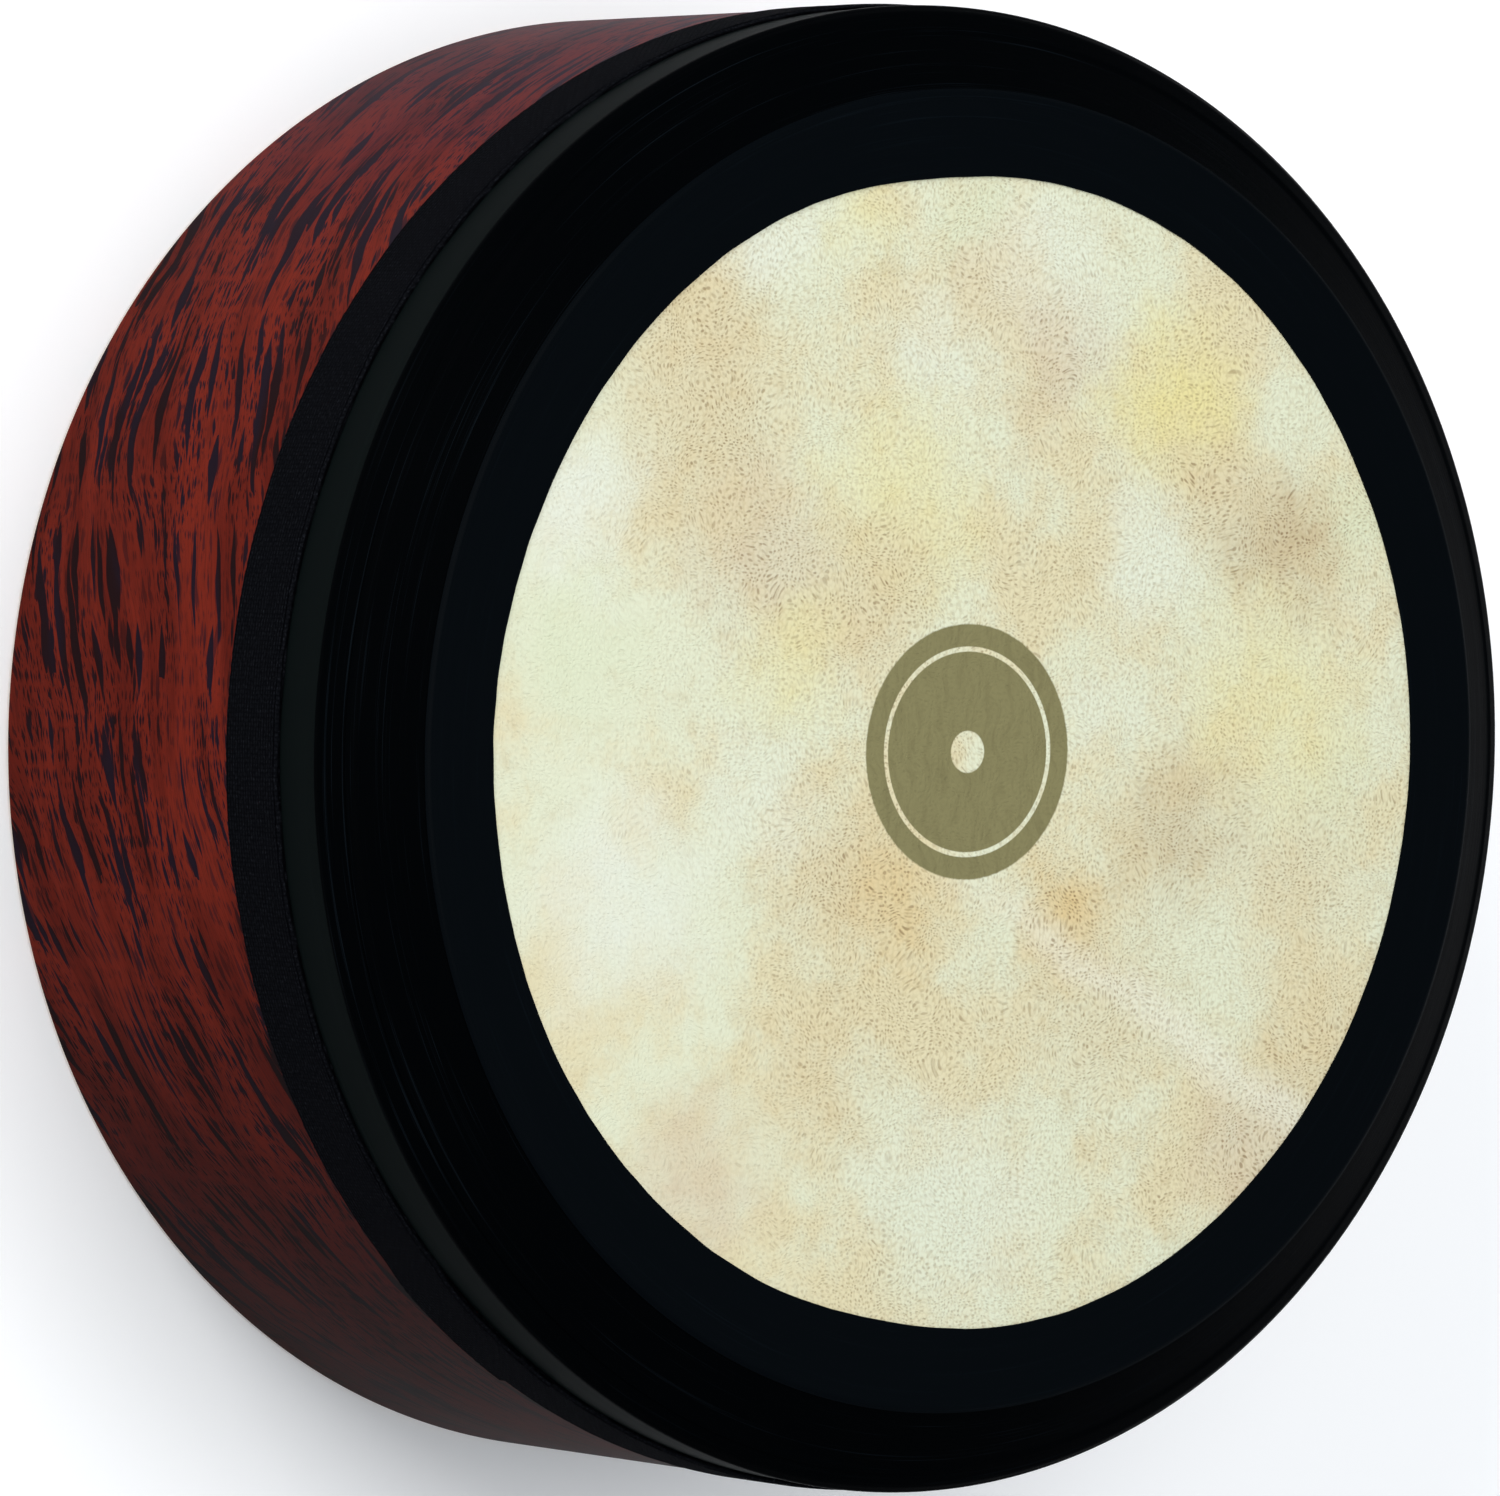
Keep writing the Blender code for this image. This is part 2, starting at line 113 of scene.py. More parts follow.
floor_shape = bmesh.new()
bmesh.ops.create_circle(floor_shape, cap_ends=True, segments=96, radius=FLOOR_RADIUS)
bmesh.ops.translate(floor_shape, verts=floor_shape.verts, vec=(0, 0, -0.1 * MM))
floor_mesh = bpy.data.meshes.new("floor")
floor_shape.to_mesh(floor_mesh)
floor_shape.free()
floor = put_in_scene(bpy.data.objects.new("floor", floor_mesh))


def softbox(name, place, aim, size, power, tint=(1.0, 1.0, 1.0)):
    """A square area lamp that looks at a point."""
    lamp = bpy.data.lights.new(name, "AREA")
    lamp.shape = "SQUARE"
    lamp.size, lamp.energy, lamp.color = size, power, tint
    made = put_in_scene(bpy.data.objects.new(name, lamp))
    made.location = place
    made.rotation_euler = (Vector(aim) - Vector(place)).to_track_quat("-Z", "Y").to_euler()


drum_middle = (0, 0, head_top / 2)
softbox("overhead", (-0.5, -0.2, 2.6), drum_middle, 2.0, 47)
softbox("side_key", (-1.45, -1.75, 1.3), drum_middle, 1.2, 26)
softbox("back_fill", (0.8, 2.2, 1.2), drum_middle, 1.6, 6, (0.88, 0.94, 1.0))

HORIZON, ZENITH = (0.52, 0.55, 0.58, 1.0), (0.22, 0.24, 0.27, 1.0)
sky = bpy.data.worlds.new("sky")
sky.use_nodes = True
sky_nodes, sky_links = sky.node_tree.nodes, sky.node_tree.links
heading = sky_nodes.new("ShaderNodeTexCoord")
height_part = sky_nodes.new("ShaderNodeSeparateXYZ")
fade = sky_nodes.new("ShaderNodeMix")
fade.data_type = "RGBA"
fade.inputs[6].default_value, fade.inputs[7].default_value = HORIZON, ZENITH
sky_links.new(heading.outputs["Generated"], height_part.inputs["Vector"])
sky_links.new(height_part.outputs["Z"], fade.inputs["Factor"])
sky_links.new(fade.outputs[2], sky_nodes["Background"].inputs["Color"])
bpy.context.scene.world = sky
bpy.context.scene.view_settings.view_transform = "Standard"

# %% [markdown]
# ## Writing finishes as sums
# A material is a graph of nodes, and long graphs are hard to read as code. Here a socket is wrapped in a
# small class, Wire, whose operators add Math nodes, so that a mask can be written as `1 - spots * 0.5`.
# Finish holds one material, and its `node` method adds any other kind of node.

# %% Wires and finishes
def operator(operation, swapped=False):
    """A method that adds a Math node. Swapped is for a number that stands before the wire."""
    def apply(wire, other):
        return wire.finish.math(operation, *((other, wire) if swapped else (wire, other)))
    return apply


class Wire:
    """A socket inside a finish. Python's operators on it add Math nodes."""

    def __init__(self, finish, socket):
        self.finish, self.socket = finish, socket

    def __abs__(self):
        return self.finish.math("ABSOLUTE", self)

    def ease(self, low, high):
        """0 at low, 1 at high, with a soft start and end. High may be the smaller."""
        ends = {"Value": self, "From Min": low, "From Max": high}
        return self.finish.node("ShaderNodeMapRange", {"interpolation_type": "SMOOTHSTEP"}, ends)

    __add__, __radd__ = operator("ADD"), operator("ADD", swapped=True)
    __sub__, __rsub__ = operator("SUBTRACT"), operator("SUBTRACT", swapped=True)
    __mul__, __rmul__ = operator("MULTIPLY"), operator("MULTIPLY", swapped=True)
    __truediv__, __pow__ = operator("DIVIDE"), operator("POWER")


def shade(red, green, blue):
    """A colour given as on a screen, 0 to 255, as the linear light that shaders work in."""
    def linear(value):
        value /= 255
        return value / 12.92 if value <= 0.04045 else ((value + 0.055) / 1.055) ** 2.4
    return (linear(red), linear(green), linear(blue))


class Finish:
    """One procedural material."""

    def __init__(self, name, **fixed):
        """Fixed values are sockets of the shader, such as specular_ior_level."""
        self.material = bpy.data.materials.new(name)
        self.material.use_nodes = True
        self.tree = self.material.node_tree
        self.shader = self.tree.nodes["Principled BSDF"]
        by_word = {socket.name.lower().replace(" ", "_"): socket for socket in self.shader.inputs}
        for word, value in fixed.items():
            by_word[word].default_value = value
        self.place = self.node("ShaderNodeTexCoord", out="Object")
        self.mm = self.vector_math("MULTIPLY", self.place, (1 / MM, 1 / MM, 1 / MM))

    def plug(self, socket, value):
        if isinstance(value, Wire):
            self.tree.links.new(value.socket, socket)
        elif socket.type == "RGBA":
            socket.default_value = (*value, 1.0)
        else:
            socket.default_value = value

    def node(self, kind, settings=None, inputs=None, out=0):
        """Adds a node: its settings first, then what its sockets take."""
        made = self.tree.nodes.new(kind)
        for setting, value in (settings or {}).items():
            setattr(made, setting, value)
        for key, value in (inputs or {}).items():
            self.plug(made.inputs[key], value)
        return Wire(self, made.outputs[out])

    def math(self, operation, *values):
        return self.node("ShaderNodeMath", {"operation": operation}, dict(enumerate(values)))

    def vector_math(self, operation, *values, out=0):
        return self.node("ShaderNodeVectorMath", {"operation": operation}, dict(enumerate(values)), out)

    def vector(self, x, y, z=0.0):
        return self.node("ShaderNodeCombineXYZ", inputs={0: x, 1: y, 2: z})

    def split(self, vector):
        parts = self.node("ShaderNodeSeparateXYZ", inputs={0: vector}).socket.node
        return [Wire(self, socket) for socket in parts.outputs]

    def mix(self, first, second, share, blend="MIX"):
        """Two colours, mixed."""
        settings = {"data_type": "RGBA", "blend_type": blend}
        return self.node("ShaderNodeMix", settings, {0: share, 6: first, 7: second}, out=2)

    def noise(self, at, scale=1.0, detail=2.0, roughness=0.5, out="Fac"):
        sockets = {"Vector": at, "Scale": scale, "Detail": detail, "Roughness": roughness}
        return self.node("ShaderNodeTexNoise", None, sockets, out)

    def waver(self, x, y, z=0.0, **shape):
        """Noise at coordinates that are already scaled."""
        return self.noise(self.vector(x, y, z), **shape)

    def cells(self, at, exponent=2.0, randomness=1.0):
        """Distance to the nearest of some scattered flat points, and a random value for that point."""
        settings = {"voronoi_dimensions": "2D", "distance": "MINKOWSKI"}
        sockets = {"Vector": at, "Scale": 1.0, "Exponent": exponent, "Randomness": randomness}
        near = self.node("ShaderNodeTexVoronoi", settings, sockets, out="Distance")
        return near, self.split(Wire(self, near.socket.node.outputs["Color"]))[0]

    def most(self, first, *others):
        """The largest of some values."""
        for other in others:
            first = self.math("MAXIMUM", first, other)
        return first

    def stretched(self, vector, *factors):
        return self.vector_math("MULTIPLY", vector, factors)

    def from_axis(self, x, y):
        return self.math("SQRT", x * x + y * y)

    def round_place(self, radius):
        """Distance round the drum at a radius, height, and distance from the axis, all in millimetres.

        The distance round starts opposite a seam at the back of the drum.
        """
        x, y, z = self.split(self.mm)
        turn = self.math("ARCTAN2", x, 0 - y)
        return turn * radius, z, self.from_axis(x, y)

    def surface(self, color, roughness, height=None, depth=1.0, metallic=None):
        """What the shader shows. Height goes through a Bump node, whose full depth is in millimetres."""
        self.plug(self.shader.inputs["Base Color"], color)
        self.plug(self.shader.inputs["Roughness"], roughness)
        if metallic is not None:
            self.plug(self.shader.inputs["Metallic"], metallic)
        if height is not None:
            relief = {"Height": height, "Distance": depth * MM, "Strength": 1.0}
            bump = self.node("ShaderNodeBump", None, relief)
            self.plug(self.shader.inputs["Normal"], bump)
        return self.material


# %% Floor finish
def make_floor():
    finish = Finish("studio_floor", specular_ior_level=0.05, emission_strength=0.10)
    cloud = finish.noise(finish.place, 3.0, 3.0)
    tone = finish.mix(shade(249, 249, 249), shade(252, 252, 252), cloud)
    finish.plug(finish.shader.inputs["Emission Color"], tone)
    return finish.surface(tone, 0.85)


floor_mesh.materials.append(make_floor())

# %% [markdown]
# ## Turning
# Hoops, bands, skin and bolts are all round, so one helper makes them: it stands an outline of (radius,
# height) points up in a bmesh and spins it once round the drum's axis. The spin's own merge closes the
# seam. Points on the axis come out once a step, so doubles are merged before the faces are made to agree.

# %% Turning and finishing helpers
def turn(outline, steps=STEPS, closed=True, angle=2 * pi):
    """A bmesh turned from (radius, height) points about the Z axis."""
    shape = bmesh.new()
    chain = [shape.verts.new((radius, 0.0, height)) for radius, height in outline]
    edges = [shape.edges.new(pair) for pair in zip(chain, chain[1:])]
    if closed:
        edges.append(shape.edges.new((chain[-1], chain[0])))
    full = angle == 2 * pi
    bmesh.ops.spin(
        shape, geom=chain + edges, cent=(0, 0, 0), axis=(0, 0, 1), angle=angle, steps=steps, use_merge=full
    )
    bmesh.ops.remove_doubles(shape, verts=shape.verts, dist=0.0001 * MM)
    bmesh.ops.recalc_face_normals(shape, faces=shape.faces)
    return shape


def in_mm(*points):
    """Outline points that are given in millimetres."""
    return [(radius * MM, height * MM) for radius, height in points]


def arc(centre, radius, start, end, steps):
    """Points on an arc in an outline, from a start to an end angle in degrees."""
    angles = [radians(start + (end - start) * i / steps) for i in range(steps + 1)]
    return [(centre[0] + radius * cos(a), centre[1] + radius * sin(a)) for a in angles]


def piece(name, shape, finishes, stands_for, body=None, sharp=35, tell=True):
    """Turns a bmesh into an object in the place of CAD nodes. Its triangles are counted as it is made."""
    mesh = bpy.data.meshes.new(name)
    shape.to_mesh(mesh)
    shape.free()
    for finish in finishes:
        mesh.materials.append(finish)
    mesh.shade_smooth()
    mesh.set_sharp_from_angle(angle=radians(sharp))
    made = put_in_scene(bpy.data.objects.new(name, mesh))
    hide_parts(*stands_for)
    if body:
        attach(made, body)
    mesh.calc_loop_triangles()
    if tell:
        print(f"{name}: {len(mesh.loop_triangles)} triangles")
    return made


def wave(angle, *swells):
    """A sum of soft swells round the drum. Each swell is (where in degrees, half width in degrees, height)."""
    total = 0.0
    for where, width, height in swells:
        off = (degrees(angle) - where + 180) % 360 - 180
        total += height * exp(-((off / width) ** 2))
    return total


# %% [markdown]
# ## The shell's veneer
# The hoop is plywood, bent hot and scarfed into a ring. Its outside wears a printed exotic veneer: brick
# red, with long navy flecks that run round the hoop, pointed at both ends, and crowds of short dark ticks.
# Flecks come from scattered points whose cells are stretched along the grain: near its point, a cell is
# dark. A random value for each cell sets the fleck's size, and slow noise bends the grain.

# %% Veneer finish
shell_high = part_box("shell")[1]
SHELL_RADIUS = shell_high.x
SHELL_WALL = 10 * MM
SHELL_INNER = SHELL_RADIUS - SHELL_WALL
PLIES = 7
SCARF = 22  # mm from the back of a hoop to the line where its ends are scarfed


def make_veneer():
    finish = Finish("streaked_red_veneer", specular_ior_level=0.012)
    along, up, _ = finish.round_place(SHELL_RADIUS / MM)
    drift = finish.waver(along * 0.006, up * 0.008, detail=2.0)
    lean = finish.waver(along * 0.03, up * 0.05, 4.4, detail=1.0)
    across = up - along * 0.31 + (drift - 0.5) * 46 + (lean - 0.5) * 8
    ragged = finish.waver(along * 0.3, across * 1.6, detail=3.0) - 0.5

    def flecks(length, width, most, seed, power=2.0, soft=0.04, ravel=0.09):
        """Pointed flecks of up to a share of their cell, which is length by width in millimetres."""
        at = finish.vector(along / length + seed, across / width + ragged * ravel + seed * 3)
        near, chance = finish.cells(at, exponent=1.2)
        size = chance**power * most
        return near.ease(size, size - soft)

    crowds = finish.waver(along * 0.025, across * 0.06, 9.4, detail=1.0).ease(0.34, 0.56)
    long_ones = flecks(56, 4.6, 0.50, 3.3, power=1.3)
    broad_ones = flecks(24, 4.2, 0.48, 11.7, power=2.0)
    short_ones = flecks(11, 2.0, 0.48, 23.1, power=1.5, soft=0.06) * (0.55 + 0.45 * crowds)
    ticks = flecks(4.8, 1.05, 0.48, 31.9, power=1.3, soft=0.08) * (0.45 + 0.55 * crowds)
    hairs = flecks(3.2, 0.7, 0.44, 47.3, power=1.3, soft=0.12) * crowds * 0.8
    dark = finish.most(long_ones, broad_ones, short_ones, ticks, hairs)

    fibre = finish.waver(along * 0.10 + across * 0.4, across * 2.4, 2.4, detail=4.0, roughness=0.65)
    cloud = finish.waver(along * 0.018, across * 0.09, 7.4, detail=3.0)
    red = finish.mix(shade(88, 23, 14), shade(110, 33, 20), cloud.ease(0.32, 0.66))
    red = finish.mix(red, shade(52, 14, 12), fibre.ease(0.56, 0.34) * 0.5)
    navy = finish.mix(shade(20, 8, 11), shade(15, 14, 26), cloud.ease(0.4, 0.6))
    color = finish.mix(red, navy, dark * 0.96)
    x, _, _ = finish.split(finish.mm)
    # Painted shade: the veneer is darkened towards +X, on the side that gets less light.
    stain_and_painted_shade = (x + (drift - 0.5) * 60).ease(10, 150)
    color = finish.mix(color, shade(124, 108, 122), stain_and_painted_shade, "MULTIPLY")
    # Painted reflection: towards -X the veneer is tinted blue-purple, as if it caught a cool light at a
    # glancing angle.
    painted_cool_reflection = (x + (lean - 0.5) * 40).ease(-110, -178)
    color = finish.mix(color, shade(38, 20, 44), painted_cool_reflection * 0.42)
    sheen = 0.42 + fibre * 0.10
    return finish.surface(color, sheen, fibre * 0.5 + (1 - dark) * 0.2, depth=0.02)


def make_ply_edge():
    """The rear rim, where the seven plies show as rings."""
    finish = Finish("ply_edge", specular_ior_level=0.3)
    along, up, out = finish.round_place(SHELL_RADIUS / MM)
    fibre = finish.waver(along * 0.3, up * 0.5, out * 3.0, detail=3.0)
    wobble = finish.waver(along * 0.02, 0.0, 0.0, detail=2.0) * 0.5
    ply = (out + wobble) * (PLIES / (SHELL_WALL / MM))
    within = finish.math("FRACT", ply)
    which = finish.math("MODULO", finish.math("FLOOR", ply), 2.0)
    wood = finish.mix(shade(201, 164, 118), shade(170, 124, 82), which)
    wood = finish.mix(wood, shade(128, 88, 56), fibre.ease(0.45, 0.7) * 0.5)
    glue = abs(within - 0.5).ease(0.44, 0.5)
    return finish.surface(finish.mix(wood, shade(84, 52, 34), glue), 0.5, fibre, depth=0.05)


def make_bare_ply(name, radius, base, deep):
    """Sanded birch on the inside of a hoop, its grain running round."""
    finish = Finish(name, specular_ior_level=0.3)
    along, up, out = finish.round_place(radius / MM)
    bend = finish.waver(along * 0.01, up * 0.03, out * 0.05, detail=2.0) - 0.5
    across = up + out + bend * 22
    fibre = finish.waver(along * 0.04, across * 1.3, detail=5.0, roughness=0.65)
    flame = finish.waver(along * 0.008, across * 0.12, 3.0, detail=3.0)
    pores, chance = finish.cells(finish.vector(along / 5.0, across / 0.7), exponent=1.6)
    pore = pores.ease(chance * 0.28, chance * 0.28 - 0.1)
    wood = finish.mix(base, deep, flame.ease(0.35, 0.7) * 0.7)
    wood = finish.mix(wood, deep, fibre.ease(0.45, 0.75) * 0.6)
    seam = abs(abs(along) - (pi * radius / MM - SCARF)).ease(0.35, 0.1)
    wood = finish.mix(wood, shade(92, 58, 34), finish.most(pore * 0.45, seam))
    return finish.surface(wood, 0.5 + fibre * 0.15, fibre - pore * 0.6, depth=0.04)


veneer = make_veneer()
ply_edge = make_ply_edge()
shell_inside = make_bare_ply("shell_inside_ply", SHELL_INNER, shade(205, 168, 122), shade(165, 118, 76))
ring_ply = make_bare_ply("tone_ring_ply", SHELL_INNER, shade(216, 182, 138), shade(184, 140, 96))

# %% [markdown]
# ## The shell
# In section the hoop is a plain board with both corners of its rear rim rounded over, and a step turned
# into its front, where the skin and its tapes are let in so that they end up flush with the wood. The
# outline is turned, and the faces are then sorted by which way they look: out, in, or to the rear.

# %% Shell
EDGE_ROUND = 1.5 * MM
RIM_ROUND = 2.2 * MM
step_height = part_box("cloth_band")[1].z
SEAT_RADIUS = 175.5 * MM

shell_outline = [
    (SHELL_INNER, shell_high.z - 1 * MM),
    (SHELL_INNER + 1 * MM, shell_high.z),
    *arc((SEAT_RADIUS - RIM_ROUND, shell_high.z - RIM_ROUND), RIM_ROUND, 90, 0, 6),
    (SEAT_RADIUS, step_height),
    (SHELL_RADIUS, step_height),
    (SHELL_RADIUS, step_height * 0.5),
    *arc((SHELL_RADIUS - EDGE_ROUND, EDGE_ROUND), EDGE_ROUND, 0, -90, 6),
    *arc((SHELL_INNER + EDGE_ROUND, EDGE_ROUND), EDGE_ROUND, -90, -180, 6),
]
shell_shape = turn(shell_outline)
for face in shell_shape.faces:
    middle = face.calc_center_median()
    outward = face.normal.dot(Vector((middle.x, middle.y, 0)).normalized())
    if face.normal.z < -0.75:
        face.material_index = 1
    elif outward < 0:
        face.material_index = 2
shell = piece("plywood_shell", shell_shape, [veneer, ply_edge, shell_inside], ["shell"], body="drum")

# %% [markdown]
# ## The tone ring
# The inner hoop is turned with a narrow rounded peak, which is all that touches the skin, and a bevel that
# falls away outside it, so that only the peak rings. It rides on the ring body, which the bolts lift.

# %% Tone ring
ring_low, ring_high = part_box("tone_ring")
RING_INNER = 154 * MM
RING_OUTER = ring_high.x
PEAK_ROUND = 1.0 * MM
PEAK_RADIUS = 155.6 * MM
RING_EDGE = 1.0 * MM
ring_slope = tan(radians(32))
bevel_end = ring_high.z - (RING_OUTER - PEAK_RADIUS) * ring_slope

ring_outline = [
    (RING_INNER, ring_high.z - 4 * MM),
    *arc((PEAK_RADIUS, ring_high.z - PEAK_ROUND), PEAK_ROUND, 150, 58, 6),
    (RING_OUTER - RING_EDGE, bevel_end),
    (RING_OUTER, bevel_end - RING_EDGE),
    *arc((RING_OUTER - RING_EDGE, ring_low.z + RING_EDGE), RING_EDGE, 0, -90, 4),
    *arc((RING_INNER + RING_EDGE, ring_low.z + RING_EDGE), RING_EDGE, -90, -180, 4),
]
piece("turned_tone_ring", turn(ring_outline), [ring_ply], ["tone_ring"], body="ring")

# %% [markdown]
# ## The head's line
# Skin and tapes share one line in section: flat across the face, down the shoulder from the tone ring to
# the shell's rim, then straight down the skirt. Each layer runs the same line at its own depth. Corners
# are rounded on arcs with shared centres, so that the layers stay parallel there.

# %% Head line
BREAK_RADIUS = 156.4 * MM
SHOULDER = (177.5 * MM, head_top - 13.2 * MM)
SKIRT_END = (177.4 * MM, step_height + 0.3 * MM)
CORNERS = [Vector((0, head_top)), Vector((BREAK_RADIUS, head_top)), Vector(SHOULDER), Vector(SKIRT_END)]
CORNER_ROUNDS = {1: 2.8 * MM, 2: 3.8 * MM}


def head_line(depth, steps=6):
    """Points from the middle of the head to the skirt's end, at a depth below the tapes' outer face."""
    runs = [(b - a).normalized() for a, b in zip(CORNERS, CORNERS[1:])]
    inward = [Vector((run.y, -run.x)) for run in runs]
    line = [CORNERS[0] + depth * inward[0]]
    for corner, before, after in zip(CORNERS[1:], inward, inward[1:]):
        line.append(corner + depth * (before + after) / (1 + before.dot(after)))
    line.append(CORNERS[-1] + depth * inward[-1])
    points = [line[0]]
    for i, outer_round in CORNER_ROUNDS.items():
        before, after = (line[i - 1] - line[i]).normalized(), (line[i + 1] - line[i]).normalized()
        half = before.angle(after) / 2
        radius = outer_round - depth
        centre = line[i] + (before + after).normalized() * radius / sin(half)
        start = line[i] + before * radius / tan(half) - centre
        swing = 2 * half - pi
        points += [centre + Matrix.Rotation(swing * k / steps, 2) @ start for k in range(steps + 1)]
    return points + [line[-1]]


def bendable(line, longest=0.6 * MM):
    """The same line with its slope cut into short parts."""
    points = [line[0]]
    for a, b in zip(line, line[1:]):
        sloping = a is not line[0] and b is not line[-1]
        parts = ceil((b - a).length / longest) if sloping else 1
        points += [a + (b - a) * k / parts for k in range(1, parts + 1)]
    return points


def line_length(line):
    return sum((b - a).length for a, b in zip(line, line[1:]))


def along_line(line, distance):
    """The point at a distance along a line, and the direction that faces out of the drum there."""
    for a, b in zip(line, line[1:]):
        length = (b - a).length
        if distance <= length or b is line[-1]:
            run = (b - a).normalized()
            return a + run * distance, Vector((-run.y, run.x))
        distance -= length


TOP_LINE = head_line(0.0)
print(f"head line: {line_length(TOP_LINE) / MM:.1f} mm from the middle to the skirt's end")

# %% [markdown]
# ## Goatskin
# The skin is soaked, stretched over both hoops and glued down the outside, and it dries as tight as a
# board, so it needs no cloth simulation: its own line, turned and given a thickness, is its true shape.
# What makes it skin is the finish. A goat's hide is pale in some places and tan in others, and hair
# follicles lie in short rows, which show where the hide is darker and thicker. A few large patches are
# listed as stains, noise ravels their edges, and small cells make the follicles.
# The middle carries a printed disc, kept plain: olive ink, one thin ring and a dot.

# %% Goatskin finish
DISC_RADIUS, THIN_RING, DOT = 30.7, 24.5, 5.0  # mm
# Where the hide is tinted: x, y and size in millimetres, a tone, and how strong it is.
HIDE_TONES = {
    "tan": shade(220, 202, 162),
    "yellow": shade(232, 222, 160),
    "pink": shade(214, 197, 172),
    "amber": shade(222, 193, 136),
    "umber": shade(200, 181, 146),
    "pale": shade(231, 237, 226),
    "green": shade(220, 228, 200),
}
WARM_TONES = ("tan", "amber", "umber", "pink")
HIDE_PATCHES = [
    (-103, -82, 30, "tan", 0.55), (-72, -80, 34, "tan", 0.6), (-45, -62, 26, "pink", 0.5),
    (-60, -20, 30, "yellow", 0.55), (-85, 63, 26, "yellow", 0.85), (-94, 26, 20, "pink", 0.6),
    (-112, 8, 18, "tan", 0.5), (-50, 98, 24, "umber", 0.7), (-66, 76, 20, "tan", 0.6),
    (-38, -30, 26, "tan", 0.6), (-24, -53, 20, "yellow", 0.45), (35, -22, 22, "amber", 0.6),
    (28, -40, 24, "tan", 0.6), (36, 29, 20, "amber", 0.7), (19, 66, 26, "umber", 0.5),
    (76, 112, 26, "tan", 0.6), (98, 90, 24, "pink", 0.6), (100, -78, 24, "pink", 0.6),
    (80, -42, 28, "tan", 0.45), (60, 40, 30, "tan", 0.45), (-126, -32, 16, "yellow", 0.4),
    (-58, -118, 26, "pale", 0.8), (-24, -116, 24, "green", 0.7), (34, -102, 32, "pale", 0.75),
    (-131, 0, 16, "green", 0.6), (-120, -62, 18, "pale", 0.6), (-57, 120, 16, "green", 0.7),
    (12, -62, 22, "pale", 0.4), (-46, 55, 22, "pale", 0.45), (-95, -10, 20, "pale", 0.4),
    (10, 112, 22, "green", 0.55), (118, -10, 24, "green", 0.5), (-10, 40, 16, "pale", 0.25),
    (-12, 96, 32, "yellow", 0.5), (30, 104, 26, "tan", 0.45), (-116, 22, 26, "pale", 0.45),
    (112, -4, 34, "pale", 0.4),
]


